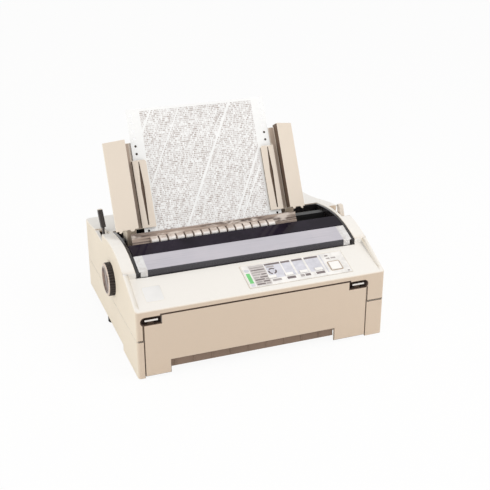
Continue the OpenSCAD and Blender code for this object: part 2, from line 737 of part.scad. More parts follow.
// Paper chute from the front slot to the platen
module chute_skin(points) {
    side_prism(path_x - chute_out + 1, path_x + chute_out - 1, points);
}
chute_z = 36;
module paper_chute() {
    color("DimGray") in_place() {
        chute_skin([[18, chute_z - 2], [118, chute_z - 2], [141, chute_z + 24], [139.5, chute_z + 25.5],
            [117, chute_z], [18, chute_z]]);
        chute_skin([[18, chute_z + 8], [113, chute_z + 8], [132, chute_z + 30], [130.5, chute_z + 31.5],
            [112, chute_z + 10], [18, chute_z + 10]]);
        for (s = [-1, 1]) side_prism(path_x + s * (chute_out - 1) - 1, path_x + s * (chute_out - 1) + 1,
            [[18, chute_z - 2], [118, chute_z - 2], [141, chute_z + 24], [130.5, chute_z + 31.5],
            [112, chute_z + 10], [18, chute_z + 10]]);
        for (s = [-1, 1]) block(path_x + s * 100 - 4, path_x + s * 100 + 4, 70, 110, base_top, chute_z - 2);
    }
}

// Platen, its shaft, knob, gear and bushings
module platen() {
    color("DimGray") in_place() difference() {
        rod_along_x(platen_r, path_x - platen_l / 2, path_x + platen_l / 2, platen_y, platen_z);
        rod_along_x(shaft_r, path_x - platen_l, path_x + platen_l, platen_y, platen_z);
    }
}
knob_w = knob_proud + knob_recess - 1;
module platen_shaft() {
    color("Silver") in_place()
        rod_along_x(shaft_r, -half_w - knob_proud + 3, gear_x + gear_w + 3, platen_y, platen_z);
}
knob_ribs = 36;
module platen_knob() {
    color("DimGray") in_place() translate([-half_w - knob_proud, platen_y, platen_z]) rotate([0, 90, 0])
        difference() {
            union() {
                cylinder(r = knob_r - 1.2, h = knob_w);
                for (i = [0 : knob_ribs - 1]) rotate([0, 0, 360 * i / knob_ribs])
                    translate([knob_r - 2, -1.1, 0]) cube([2, 2.2, knob_w]);
                cylinder(r = shaft_r + 1.6, h = knob_w + 12);
            }
            translate([0, 0, 3]) cylinder(r = shaft_r, h = knob_w + 20);
            translate([0, 0, -1]) difference() {
                cylinder(r = knob_r - 6, h = 2.5);
                cylinder(r = 8, h = 3);
            }
        }
}
module platen_gear() {
    color("White") in_place() gear_at(platen_y, platen_z, platen_teeth, 0, shaft_r);
}
module platen_bushings() {
    color("Ivory") in_place() for (s = [-1, 1]) {
        x0 = s > 0 ? path_x + frame_in : path_x - frame_out;
        difference() {
            union() {
                rod_along_x(shaft_r + 3, x0, x0 + sheet_t, platen_y, platen_z);
                rod_along_x(shaft_r + 5, s > 0 ? x0 - 2 : x0 + sheet_t, s > 0 ? x0 : x0 + sheet_t + 2, platen_y, platen_z);
            }
            rod_along_x(shaft_r + run_fit, x0 - 5, x0 + 8, platen_y, platen_z);
        }
    }
}
module idle_gear(y, z, teeth, phase) {
    color("White") in_place() gear_at(y, z, teeth, phase, stud_r + run_fit);
}
module feed_idler_gear() { idle_gear(idler_y, idler_z, idler_teeth, idler_phase); }
module tractor_idler_gear() { idle_gear(ti_y, ti_z, tractor_idler_teeth, ti_phase); }
feed_motor_r = 21;
feed_motor_l = 28;
motor_shaft_r = 2.5;
module feed_motor() {
    color("DarkGray") in_place() difference() {
        rod_along_x(feed_motor_r, path_x + frame_in - feed_motor_l, path_x + frame_in, pinion_y, pinion_z);
        rod_along_x(motor_shaft_r + run_fit, path_x + frame_in - 12, path_x + frame_in + 1, pinion_y, pinion_z);
    }
}
module feed_pinion() {
    color("Gold") in_place() {
        gear_at(pinion_y, pinion_z, pinion_teeth, pinion_phase, motor_shaft_r);
        rod_along_x(motor_shaft_r, path_x + frame_in - 10, gear_x + gear_w + 1, pinion_y, pinion_z);
    }
}
module pinch_roller(s) {
    y = platen_y + s * pinch_dy;
    color("DimGray") in_place() {
        rod_along_x(pinch_shaft_r, path_x - frame_out - 1, path_x + frame_out + 0.8, y, pinch_z);
        for (i = [-2 : 2]) rod_along_x(pinch_r, path_x + i * 48 - 12, path_x + i * 48 + 12, y, pinch_z);
    }
}
module front_pinch_roller() { pinch_roller(-1); }
module rear_pinch_roller() { pinch_roller(1); }

// Tractors for the continuous form
module tractor_shaft() {
    s = tractor_shaft_r * 1.35;
    color("Silver") in_place() {
        block(path_x - frame_in + 2, path_x + frame_in - 2, tractor_y - s / 2, tractor_y + s / 2,
            tractor_z - s / 2, tractor_z + s / 2);
        rod_along_x(tractor_shaft_r, path_x - frame_out - 1, path_x - frame_in + 2, tractor_y, tractor_z);
        rod_along_x(tractor_shaft_r, path_x + frame_in - 2, gear_x + gear_w + 1, tractor_y, tractor_z);
    }
}
module tractor_gear() {
    color("White") in_place() gear_at(tractor_y, tractor_z, tractor_teeth, tractor_phase, tractor_shaft_r);
}
module tractor_rod() {
    color("Silver") in_place()
        rod_along_x(tractor_rod_r, path_x - frame_out, path_x + frame_out, rod2_y, rod2_z);
}
tractor_ear = 2.4;
module tractor(s) {
    xc = path_x + s * tractor_off;
    xe = path_x + s * lid_axis_x;
    color("DarkSlateGray") in_place() difference() {
        union() {
            block(xc - tractor_w / 2, xc + tractor_w / 2, tractor_y - 16, tractor_y + 24, tractor_z - 14, tractor_top);
            for (y = [tractor_y - 16, tractor_y + 24 - tractor_ear])
                block(min(xc, xe + s * 2.4), max(xc, xe + s * 2.4), y, y + tractor_ear, tractor_top - 8, lid_axis_z + 2.2);
            for (i = [-1 : 2]) translate([xc - s * 3, tractor_y + 4 + i * hole_pitch * 0.7 - 4, tractor_top - 1])
                cylinder(r = 1.5, h = 1.6);
        }
        rod_along_x(tractor_shaft_r + 1.2, xc - 20, xc + 20, tractor_y, tractor_z);
        rod_along_x(tractor_rod_r + run_fit, xc - 20, xc + 20, rod2_y, rod2_z);
        rod_along_y(lid_pin_r + run_fit, tractor_y - 20, tractor_y + 30, xe, lid_axis_z);
        block(min(xc - s * tractor_w, xe + s * 3), max(xc - s * tractor_w, xe + s * 3),
            tractor_y - 16 + tractor_ear, tractor_y + 24 - tractor_ear, tractor_top + 0.6, tractor_top + 12);
    }
}
module tractor_left() { tractor(-1); }
module tractor_right() { tractor(1); }
module tractor_lid(s) {
    xe = path_x + s * lid_axis_x;
    y0 = tractor_y - 16 + tractor_ear + 0.5;
    y1 = tractor_y + 24 - tractor_ear - 0.5;
    color("Ivory") in_place() {
        difference() {
            block(min(xe, xe - s * 18), max(xe, xe - s * 18), y0, y1, tractor_top + 1, tractor_top + 2.2);
            block(min(xe - s * 14.5, xe - s * 11), max(xe - s * 14.5, xe - s * 11), y0 + 4, y1 - 4, 0, sky);
        }
        rod_along_y(lid_pin_r, y0 - tractor_ear + 0.3, y1 + tractor_ear - 0.3, xe, lid_axis_z);
    }
}
module tractor_lid_left() { tractor_lid(-1); }
module tractor_lid_right() { tractor_lid(1); }

// Carriage, print head, ribbon and belt
module carriage_rod() {
    color("Silver") in_place() rod_along_x(rod_r, path_x - frame_out - 2, lever_x + 5, rod_y, rod_z);
}
belt_top = belt_z + belt_in;
module carriage() {
    color("DarkSlateGray") in_place() difference() {
        union() {
            block(home_x - carriage_w / 2, home_x + carriage_w / 2, rod_y - 11, rod_y + 12, rod_z - 9, rod_z + 12);
            block(home_x - 8, home_x + 8, belt_y - 1, rod_y - 10, belt_top + belt_t + free_gap, belt_top + belt_t + 5);
            block(home_x - 8, home_x + 8, belt_y - 1, belt_y + belt_w + 4, belt_top - 4, belt_top - free_gap);
            block(home_x - 8, home_x + 8, belt_y + belt_w + free_gap, belt_y + belt_w + 4, belt_top - 4, belt_top + belt_t + 4);
        }
        rod_along_x(rod_r + run_fit, home_x - 40, home_x + 40, rod_y, rod_z);
    }
}
head_y0 = rod_y + 7;
head_z0 = rod_z + 12;
module print_head() {
    color("DarkGray") in_place() {
        block(home_x - head_half, home_x + head_half, head_y0, nose_y - 8, head_z0, platen_z + 5);
        block(home_x - 4, home_x + 4, nose_y - 9, nose_y, platen_z - 4, platen_z + 4);
        for (i = [0 : 4]) block(home_x - head_half, home_x + head_half, head_y0 + i * 4, head_y0 + i * 4 + 1.6,
            platen_z + 4, platen_z + 16);
    }
}
module ribbon_cartridge() {
    x0 = path_x - cart_half;
    x1 = path_x + cart_half;
    color("DarkSlateGray") in_place() difference() {
        union() {
            block(x0, x1, rod_y - 22, head_y0 - 2, cart_z, cart_z + cart_h);
            for (x = [x0, x1 - cart_arm_w])
                block(x, x + cart_arm_w, head_y0 - 3, ribbon_y + ribbon_t + 0.1, platen_z - 6, cart_z + cart_h - 4);
            for (x = [path_x - frame_in, x1 - 1])
                rod_along_x(3.5, x, x + frame_in - cart_half + 1, rod_y - 10, cart_z + 6);
        }
        translate([path_x - 96, rod_y - 10, cart_z + 4]) cylinder(r = 3 + run_fit, h = cart_h);
    }
}
module ribbon() {
    color("Black") in_place() block(path_x - cart_half + cart_arm_w, path_x + cart_half - cart_arm_w,
        ribbon_y, ribbon_y + ribbon_t, platen_z - 5, platen_z + 6);
}
module ribbon_knob() {
    color("DimGray") in_place() translate([path_x - 96, rod_y - 10, cart_z + 5]) {
        cylinder(r = 3, h = cart_h);
        translate([0, 0, cart_h - 5 + free_gap]) cylinder(r = 8, h = 6);
        for (i = [0 : 11]) rotate([0, 0, 30 * i]) translate([7.4, -1, cart_h - 5 + free_gap]) cube([1.6, 2, 6]);
    }
}
module belt_loop(r) {
    for (s = [-1, 1]) rod_along_y(r, belt_y, belt_y + belt_w, path_x + s * pulley_off, belt_z);
    block(path_x - pulley_off, path_x + pulley_off, belt_y, belt_y + belt_w, belt_z - r, belt_z + r);
}
module drive_belt() {
    color("Black") in_place() difference() {
        belt_loop(belt_in + belt_t);
        translate([0, -1, 0]) belt_loop(belt_in);
        translate([0, 1, 0]) belt_loop(belt_in);
    }
}
module belt_pulley(x, bore) {
    difference() {
        union() {
            rod_along_y(pulley_r, belt_y, belt_y + belt_w, x, belt_z);
            rod_along_y(pulley_r + 2.5, belt_y - 1.4, belt_y - 0.4, x, belt_z);
            rod_along_y(pulley_r, belt_y - 1, belt_y, x, belt_z);
        }
        rod_along_y(bore, belt_y - 5, belt_y + belt_w + 5, x, belt_z);
    }
}
module drive_pulley() {
    color("Gold") in_place() {
        belt_pulley(path_x + pulley_off, motor_shaft_r);
        rod_along_y(motor_shaft_r, motor_y1 - 12, belt_y + belt_w + 1, path_x + pulley_off, belt_z);
    }
}
module idler_pulley() {
    color("Gold") in_place() belt_pulley(path_x - pulley_off, motor_shaft_r + run_fit);
}
module carriage_motor() {
    color("DarkGray") in_place() difference() {
        union() {
            rod_along_y(carriage_motor_r, motor_y1 - motor_l, motor_y1, path_x + pulley_off, belt_z);
            rod_along_y(7, motor_y1 - 1, motor_y1 + 1.4, path_x + pulley_off, belt_z);
        }
        rod_along_y(motor_shaft_r + run_fit, motor_y1 - 14, motor_y1 + 5, path_x + pulley_off, belt_z);
    }
}

// Paper exit: slotted comb and tear-off bar
comb_pitch = 14.6;
comb_slot = 2.6;
comb_x = path_x - 6;
comb_half = 108;
comb_y0 = cover_y1 + 5;
comb_z = crown_h - 8;
bar_gap = 2;
bar_top = crown_h + 8;
function form_y(z) = sheet_y + (z - crown_h) * tan(sheet_lean);
module exit_comb() {
    color("Ivory") in_place() difference() {
        side_prism(comb_x - comb_half, comb_x + comb_half, [[comb_y0, comb_z], [comb_y0, comb_z + 6],
            [comb_y0 + 4, comb_z + 9], [form_y(comb_z + 10) - bar_gap - 2.2, comb_z + 10],
            [form_y(comb_z) - bar_gap - 2.2, comb_z]]);
        for (i = [-8 : 7]) block(comb_x + (i + 0.5) * comb_pitch - comb_slot / 2,
            comb_x + (i + 0.5) * comb_pitch + comb_slot / 2, comb_y0 - 1, comb_y0 + 30, comb_z + 2, sky);
    }
}
module tear_bar() {
    plate_x = frame_in - 2;
    shelf_z = comb_z - 2;
    cheek_y = platen_y - 4;
    color("SaddleBrown") in_place() {
        side_prism(path_x - plate_x, path_x + plate_x, [[comb_y0, shelf_z], [form_y(shelf_z) - bar_gap, shelf_z],
            [form_y(bar_top) - bar_gap, bar_top], [form_y(bar_top) - bar_gap - 1.2, bar_top],
            [form_y(comb_z) - bar_gap - 2, comb_z], [comb_y0, comb_z]]);
        for (s = [-1, 1]) {
            x0 = path_x + s * plate_x;
            side_prism(min(x0, x0 - s * 2), max(x0, x0 - s * 2), [[cheek_y - 4, comb_z - 20], [comb_y0, comb_z],
                [form_y(comb_z) - bar_gap, comb_z], [cheek_y + 2, comb_z - 20]]);
            rod_along_x(2, min(x0 - s, path_x + s * frame_in), max(x0 - s, path_x + s * frame_in),
                cheek_y, comb_z - 14);
        }
    }
}

// Levers
release_tip = arch(notch_left_y) + 28;
module release_lever() {
    color("DimGray") in_place() {
        rod_along_x(release_r, -lever_x - 2, path_x + frame_out + 2, release_y, release_z);
        rod_along_x(7, -lever_x - 2.5, -lever_x + 2.5, release_y, release_z);
        side_prism(-lever_x - 1.5, -lever_x + 1.5, [[release_y - 6, release_z], [release_y + 6, release_z],
            [release_y + 9, release_tip - 22], [release_y + 1, release_tip - 22]]);
        side_prism(-lever_x - 4, -lever_x + 4, [[release_y - 1, release_tip - 24], [release_y + 7, release_tip - 28],
            [release_y + 25, release_tip - 7], [release_y + 26, release_tip - 1], [release_y + 20, release_tip]]);
    }
}
gap_tip = arch(notch_right_y) + 13;
module gap_lever() {
    grip_y = notch_right_y + 17;
    knee_z = arch(notch_right_y) - notch_depth - wall - 6;
    color("DimGray") in_place() difference() {
        union() {
            rod_along_x(rod_r + 3, frame_right + free_gap, lever_x + 4, rod_y, rod_z);
            side_prism(lever_x - 1.5, lever_x + 1.5, [[rod_y - 6, rod_z + 5], [rod_y + 6, rod_z + 2],
                [grip_y + 5, knee_z - 10], [grip_y + 5, gap_tip - 16], [grip_y - 3, gap_tip - 13],
                [grip_y - 4, knee_z]]);
            side_prism(lever_x - 4, lever_x + 4, [[grip_y - 6, gap_tip - 19], [grip_y + 5, gap_tip - 22],
                [grip_y + 12, gap_tip - 3], [grip_y + 9, gap_tip], [grip_y + 2, gap_tip]]);
        }
        rod_along_x(rod_r + run_fit, frame_right - 5, lever_x + 20, rod_y, rod_z);
    }
}

// Paper guide: rail, two edge guides and the form
module paper_guide() {
    color("DimGray") in_place() {
        block(-half_open + liner_w + 1, half_open - liner_w - 1, rail_y, rail_y + rail_s, rail_z, rail_z + rail_s);
    }
}
// One edge guide: back strip, raised outer box, web, slotted front lip, hooks and foot
// Section of the raised outer part across the form, set in by a wall thickness and then open to the rear
module guide_section(inset) {
    front = guide_back - guide_h + inset;
    rear = guide_back + (inset > 0 ? 1 : 0);
    polygon([[guide_wall_x + inset, front], [guide_wall_x + guide_w - inset, front + guide_fall],
        [guide_wall_x + guide_w - inset, rear], [guide_wall_x + inset, rear]]);
}
module edge_guide(s) {
    m = s > 0 ? [0, 0, 0] : [1, 0, 0];
    groove_x = (guide_lip_in + web_x) / 2 + 2;
    color("AntiqueWhite") in_place() {
        on_form() mirror(m) {
            translate([guide_lip_in, guide_back - 3, guide_foot])
                cube([guide_wall_x - guide_lip_in + 1, 3, guide_l - 4]);
            difference() {
                translate([0, 0, guide_foot]) linear_extrude(guide_l) guide_section(0);
                translate([0, 0, guide_foot + guide_skin]) linear_extrude(guide_l - 2 * guide_skin)
                    guide_section(guide_skin);
            }
            translate([web_x, -lip_gap - lip_t, guide_foot]) cube([2.4, guide_back + lip_gap + lip_t, lip_l]);
            difference() {
                translate([0, -lip_gap, guide_foot]) rotate([90, 0, 0]) linear_extrude(lip_t)
                    polygon([[guide_lip_in, 0], [web_x + 2.4, 0], [web_x + 2.4, lip_l], [guide_lip_in + 2, lip_l],
                        [guide_lip_in, lip_l - 3]]);
                translate([0, -lip_gap - groove_floor, guide_foot]) rotate([90, 0, 0]) linear_extrude(lip_t)
                    polygon([[groove_x - 1, 4], [groove_x + 1, 4], [groove_x + 2.8, lip_l * 0.6],
                        [groove_x + 0.6, lip_l - 2.5], [groove_x - 0.6, lip_l - 2.5], [groove_x - 2.8, lip_l * 0.6]]);
            }
            intersection() {
                translate([0, 0, guide_foot - lobe_r]) linear_extrude(lobe_r + 1) difference() {
                    guide_section(0);
                    guide_section(guide_skin);
                }
                for (x = [guide_wall_x + 9, guide_wall_x + guide_w - 6])
                    translate([x, 0, guide_foot]) rotate([90, 0, 0]) cylinder(r = lobe_r, h = guide_h);
            }
        }
        translate([path_x, 0, 0]) mirror(m) side_prism(arm_in, arm_in + arm_w, [[sheet_y + 13, crown_h + 13],
            [sheet_y + 26, crown_h + 36], [rail_y + 14, rail_z + 44], [rail_y + rail_s + 7, rail_z + 30],
            [rail_y + rail_s + 10, rail_z + 18], [rail_y + rail_s + 5, rail_z + 1],
            [rail_y + rail_s + 0.4, rail_z + 1], [rail_y + rail_s + 0.4, rail_z + rail_s + 0.4],
            [rail_y - 0.4, rail_z + rail_s + 0.4], [rail_y - 0.4, rail_z + 1], [rail_y - 5, rail_z + 1]]);
    }
}
module edge_guide_left() { edge_guide(-1); }
module edge_guide_right() { edge_guide(1); }
hole_count = floor((sheet_l - hole_first) / hole_pitch);
module paper_sheet() {
    color("White") in_place() on_form() difference() {
        translate([-sheet_w / 2, -sheet_thick / 2, sheet_up - sheet_l]) cube([sheet_w, sheet_thick, sheet_l]);
        for (s = [-1, 1], i = [0 : hole_count - 1])
            translate([s * (sheet_w / 2 - hole_inset), 1, sheet_up - hole_first - i * hole_pitch])
                rotate([90, 0, 0]) cylinder(r = hole_r, h = 2);
    }
}

// Electrics
inlet_x = 160;
inlet_w = 28;
inlet_z = 26;
inlet_h = 22;
plug_x = -90;
plug_w = 62;
plug_z = 34;
plug_h = 18;
module main_board() {
    z = base_top + 6;
    x0 = path_x - frame_in + 3.5;
    x1 = x0 + board_w;
    y0 = case_d - 16 - board_d;
    y1 = case_d - 16;
    color("DarkGreen") in_place() {
        block(x0, x1, y0, y1, z, z + 1.6);
        for (x = [x0 + 13, x1 - 7], y = [y0 + 7, y1 - 8]) translate([x, y, base_top]) cylinder(r = 3, h = 7);
        for (p = [[30, 17, 44, 14], [90, 17, 52, 16], [160, 17, 40, 14], [30, 43, 26, 10], [140, 43, 26, 10]])
            translate([x0 + p[0], y0 + p[1], z + 1.6]) cube([p[2], p[3], 4]);
        for (i = [0 : 3]) translate([x1 - 70 + i * 16, y0 + 45, z + 1.6]) cylinder(r = 6, h = 18);
    }
}
board_w = 270;
board_d = 81;
module power_unit() {
    x = inlet_x - 8;
    y = case_d - 59;
    color("DarkGoldenrod") in_place() {
        block(x - 26, x + 26, y - 21, y + 21, base_top, base_top + 5);
        block(x - 22, x + 22, y - 17, y + 17, base_top + 5, base_top + 42);
        block(x - 30, x + 30, y - 11, y + 11, base_top + 12, base_top + 36);
    }
}
module wall_socket(x, z, w, h, depth) {
    block(x - w / 2 + 0.2, x + w / 2 - 0.2, case_d - depth, case_d, z + 0.2, z + h - 0.2);
    block(x - w / 2 - 2.5, x + w / 2 + 2.5, case_d - wall - 2, case_d - wall, z - 2.5, z + h + 2.5);
}
module mains_inlet() {
    color("Black") in_place() difference() {
        wall_socket(inlet_x, inlet_z, inlet_w, inlet_h, 14);
        block(inlet_x - 11, inlet_x + 11, case_d - 11, case_d + 1, inlet_z + 3, inlet_z + inlet_h - 3);
    }
    color("Silver") in_place() for (i = [-1 : 1])
        block(inlet_x + i * 6.5 - 1, inlet_x + i * 6.5 + 1, case_d - 12, case_d - 3, inlet_z + 6, inlet_z + 11);
}
module interface_connector() {
    color("Silver") in_place() difference() {
        wall_socket(plug_x, plug_z, plug_w, plug_h, 15.5);
        block(plug_x - 26, plug_x + 26, case_d - 9, case_d + 1, plug_z + 3, plug_z + plug_h - 3);
    }
    color("Silver") in_place() block(plug_x - 23, plug_x + 23, case_d - 10, case_d - 2, plug_z + 7.5, plug_z + plug_h - 7.5);
}

lower_case();
upper_case();
opening_liner();
front_door();
door_latch_left();
door_latch_right();
printer_cover();
panel_inlay();
panel_board();
font_button();
pitch_button();
line_feed_button();
pause_button();
power_key();
base_plate();
side_frame_left();
side_frame_right();
paper_chute();
platen();
platen_shaft();
platen_knob();
platen_gear();
platen_bushings();
feed_idler_gear();
tractor_idler_gear();
feed_motor();
feed_pinion();
front_pinch_roller();
rear_pinch_roller();
tractor_shaft();
tractor_gear();
tractor_rod();
tractor_left();
tractor_right();
tractor_lid_left();
tractor_lid_right();
carriage_rod();
carriage();
print_head();
ribbon_cartridge();
ribbon();
ribbon_knob();
drive_belt();
drive_pulley();
idler_pulley();
carriage_motor();
exit_comb();
tear_bar();
release_lever();
gap_lever();
paper_guide();
edge_guide_left();
edge_guide_right();
paper_sheet();
main_board();
power_unit();
mains_inlet();
interface_connector();
rubber_feet();
case_screws();
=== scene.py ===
import json
import math

import bmesh
import bpy
import numpy as np
from bpy.props import FloatProperty, FloatVectorProperty, IntProperty, PointerProperty
from bpy.types import Operator, Panel, PropertyGroup
from mathutils import Matrix, Vector


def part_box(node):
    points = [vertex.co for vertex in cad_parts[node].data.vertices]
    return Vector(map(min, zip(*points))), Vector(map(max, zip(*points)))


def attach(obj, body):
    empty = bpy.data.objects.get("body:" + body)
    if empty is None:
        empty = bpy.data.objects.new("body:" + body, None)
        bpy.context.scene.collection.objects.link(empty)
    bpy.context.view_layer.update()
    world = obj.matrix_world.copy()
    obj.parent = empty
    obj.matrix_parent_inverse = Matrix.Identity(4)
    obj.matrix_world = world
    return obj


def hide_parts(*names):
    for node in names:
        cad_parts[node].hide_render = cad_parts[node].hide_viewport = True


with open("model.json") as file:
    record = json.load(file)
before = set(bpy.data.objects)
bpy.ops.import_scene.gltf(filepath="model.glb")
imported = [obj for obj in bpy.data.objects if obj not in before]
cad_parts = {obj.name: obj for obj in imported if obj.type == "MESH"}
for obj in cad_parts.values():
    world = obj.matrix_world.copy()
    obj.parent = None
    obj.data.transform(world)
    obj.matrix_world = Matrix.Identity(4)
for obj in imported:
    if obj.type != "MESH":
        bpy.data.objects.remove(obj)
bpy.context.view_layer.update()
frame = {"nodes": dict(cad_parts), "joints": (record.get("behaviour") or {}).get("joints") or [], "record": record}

bl_info = {
    "name": "Continuous Form Printer",
    "version": (1, 0, 0),
    "blender": (4, 5, 0),
    "location": "View3D > Sidebar > Printer",
    "description": "Dresses a desktop printer for continuous forms, piece by piece",
    "category": "Object",
}

MM = 0.001
NODES = frame["nodes"]
BODY_OF = {node: body for body, nodes in frame["record"]["behaviour"]["bodies"].items() for node in nodes}

# ---------------------------------------------------------------- places, worked out from the frame
CASE_LOW, CASE_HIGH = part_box("upper_case")
CASE_X = (CASE_LOW.x + CASE_HIGH.x) / 2
FRONT_Y = CASE_LOW.y
HALF_CASE = (CASE_HIGH.x - CASE_LOW.x) / 2 / MM


def at(x, y, z):
    """Numbers or arrays in mm from the middle of the case, its front face and the table, as frame metres."""
    x, y, z = np.broadcast_arrays(x, y, z)
    return np.stack([CASE_X + x * MM, FRONT_Y + y * MM, z * MM], axis=-1)


def case_mm(points):
    """The reverse of at: points in frame metres, as an (n, 3) array or one point, in mm of the case."""
    return (np.array(points) - at(0, 0, 0)) / MM


def box_mm(node):
    """The lowest and highest corner of a CAD node in mm of the case."""
    return [case_mm(corner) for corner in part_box(node)]


def joint_mm(name):
    """The pivot of a joint of the packed record in mm of the case."""
    for joint in frame["joints"]:
        if joint["name"] == name:
            return case_mm(joint["pos_m"])
    raise ValueError(f"no joint named {name}")


# ---------------------------------------------------------------- sizes and colours
def length(name, description, default, least, most):
    return FloatProperty(name=name, description=description, default=default, min=least, max=most,
                         subtype="DISTANCE", unit="LENGTH")


def tone(name, description, default):
    return FloatVectorProperty(name=name, description=description, default=default, size=3, min=0.0, max=1.0,
                               subtype="COLOR")


class CaseSettings(PropertyGroup):
    """Moulded case, door and edge guides."""
    edge_radius: length("Edge radius", "Rounding of the outer edges of the case", 0.0016, 0.0002, 0.003)
    seam_radius: length("Seam radius", "Rounding of the edges beside the seams", 0.0007, 0.0001, 0.0015)
    cream: tone("Cream", "Colour of the sides of the case and of the guides", (0.82, 0.735, 0.60))
    # pale and tan are painted light and painted shade: the case's one cream plastic, paler where it looks up and
    # darker where it looks forward
    pale: tone("Pale cream", "Colour of the faces that look up", (0.87, 0.845, 0.805))
    tan: tone("Tan", "Colour of the faces that look to the front", (0.70, 0.575, 0.455))


class CoverSettings(PropertyGroup):
    """Smoked cover over the print head."""
    clear_end: length("Clear end", "Width of the clear strip at each end of the band", 0.014, 0.0, 0.04)
    # The band's lavender grey is a painted reflection on the smoked plastic
    band_reflection_colour: tone("Band colour", "Colour of the satin band", (0.50, 0.482, 0.53))


class FormSettings(PropertyGroup):
    """Continuous form and its print."""
    line_pitch: length("Line pitch", "Distance between two printed lines", 0.0254 / 8, 0.002, 0.01)
    ink: tone("Ink", "Colour of the printed dashes", (0.42, 0.36, 0.335))


class KnobSettings(PropertyGroup):
    """Ribbed feed knob."""
    ribs: IntProperty(name="Ribs", description="Ribs round the knob", default=36, min=12, max=60)
    rib_depth: length("Rib depth", "Depth of the grooves between the ribs", 0.0014, 0.0003, 0.003)


def settings(group):
    return getattr(bpy.context.scene, "printer_" + group)


# ---------------------------------------------------------------- nodes
def feed(tree, socket, value):
    """Links an input to another node's output, or sets it to a plain value, such as a number or an RGB triple."""
    if isinstance(value, bpy.types.NodeSocket):
        tree.links.new(value, socket)
    else:
        socket.default_value = (*value, 1.0) if socket.type == "RGBA" else value


def feed_all(tree, node, inputs):
    """Feeds the inputs of a node by their labels, in which _ stands for a space."""
    for label, value in inputs.items():
        feed(tree, node.inputs[label.replace("_", " ")], value)
    return node


def add_node(tree, kind, **inputs):
    return feed_all(tree, tree.nodes.new(kind), inputs)


def math_node(tree, kind, *values):
    node = tree.nodes.new("ShaderNodeMath")
    node.operation = kind
    for socket, value in zip(node.inputs, values):
        feed(tree, socket, value)
    return node.outputs[0]


def times(tree, a, b):
    return math_node(tree, "MULTIPLY", a, b)


def noise_node(tree, vector, scale, detail=2.0, roughness=0.5):
    return add_node(tree, "ShaderNodeTexNoise", Vector=vector, Scale=scale, Detail=detail,
                    Roughness=roughness).outputs["Fac"]


def stretch_node(tree, vector, factors):
    """The vector scaled by three plain factors."""
    return add_node(tree, "ShaderNodeMapping", Vector=vector, Scale=factors).outputs["Vector"]


def flat_noise(tree, x, y, detail, roughness):
    """Noise over two coordinates of any meaning."""
    vector = add_node(tree, "ShaderNodeCombineXYZ", X=x, Y=y).outputs["Vector"]
    return noise_node(tree, vector, 1.0, detail, roughness)


def ramp_node(tree, value, low, high, to_low=0.0, to_high=1.0):
    """Maps low..high to to_low..to_high with a smooth step."""
    node = add_node(tree, "ShaderNodeMapRange", Value=value, From_Min=low, From_Max=high, To_Min=to_low,
                    To_Max=to_high)
    node.interpolation_type = "SMOOTHSTEP"
    return node.outputs["Result"]


def spread(tree, mask, low, high):
    """Carries the middle of a noise mask, 0.3 to 0.7, over low..high."""
    return ramp_node(tree, mask, 0.3, 0.7, low, high)


def mix_colour(tree, factor, a, b):
    """A colour between a and b; each is a socket or an RGB triple."""
    node = tree.nodes.new("ShaderNodeMix")
    node.data_type = "RGBA"
    for place, value in ((0, factor), (6, a), (7, b)):
        feed(tree, node.inputs[place], value)
    return node.outputs[2]


def facing_masks(tree):
    """Masks that the piece carries: how far it looks up, how far it looks forward, and its rounded edges, for painted
    light, painted shade and painted highlights.
    """
    node = tree.nodes.new("ShaderNodeAttribute")
    node.attribute_name = "facing"
    return add_node(tree, "ShaderNodeSeparateColor", Color=node.outputs["Color"]).outputs[0:3]


def new_group(name, numbers, outputs):
    """An empty shader group with a Vector input, number inputs (label: default) and number outputs."""
    group = bpy.data.node_groups.new(name, "ShaderNodeTree")
    group.interface.new_socket("Vector", in_out="INPUT", socket_type="NodeSocketVector")
    for label, default in numbers.items():
        group.interface.new_socket(label, in_out="INPUT", socket_type="NodeSocketFloat").default_value = default
    for label in outputs:
        group.interface.new_socket(label, in_out="OUTPUT", socket_type="NodeSocketFloat")
    return group, group.nodes.new("NodeGroupInput").outputs, group.nodes.new("NodeGroupOutput").inputs


def make_mould_grain():
    """Moulded plastic: a fine leathery grain and slow changes of tone."""
    tree, given, made = new_group(
        "mould_grain", {"Grain Scale": 900.0, "Tone Scale": 9.0}, ("Grain", "Tone", "Soil"))
    fine = noise_node(tree, given["Vector"], given["Grain Scale"], 3.0, 0.6)
    slow = noise_node(tree, given["Vector"], given["Tone Scale"], 3.0, 0.55)
    spots = noise_node(tree, given["Vector"], 55.0, 4.0, 0.7)
    feed(tree, made["Grain"], fine)
    feed(tree, made["Tone"], spread(tree, slow, 0.0, 1.0))
    feed(tree, made["Soil"], ramp_node(tree, spots, 0.62, 0.8))
    return tree


def make_brushed_lines():
    """Fine parallel lines along X: noise drawn out forty times in that direction."""
    tree, given, made = new_group("brushed_lines", {"Scale": 300.0}, ("Lines", "Blotch"))
    long = stretch_node(tree, given["Vector"], (0.025, 1.0, 1.0))
    feed(tree, made["Lines"], noise_node(tree, long, given["Scale"], 4.0, 0.65))
    feed(tree, made["Blotch"], ramp_node(tree, noise_node(tree, given["Vector"], 25.0), 0.35, 0.7))
    return tree


GROUP_MAKERS = {"mould_grain": make_mould_grain, "brushed_lines": make_brushed_lines}


def group_node(tree, name, vector, **inputs):
    """Places a shared group, made on its first use, and feeds its inputs."""
    node = tree.nodes.new("ShaderNodeGroup")
    node.node_tree = bpy.data.node_groups.get(name) or GROUP_MAKERS[name]()
    return feed_all(tree, node, {"Vector": vector, **inputs}).outputs


# ---------------------------------------------------------------- materials
FINISHES = {}


def finish(maker):
    """Keeps one material for each maker function and its arguments."""
    def kept(*args):
        key = (maker.__name__,) + args
        if key not in FINISHES:
            FINISHES[key] = maker(*args)
        return FINISHES[key]
    return kept


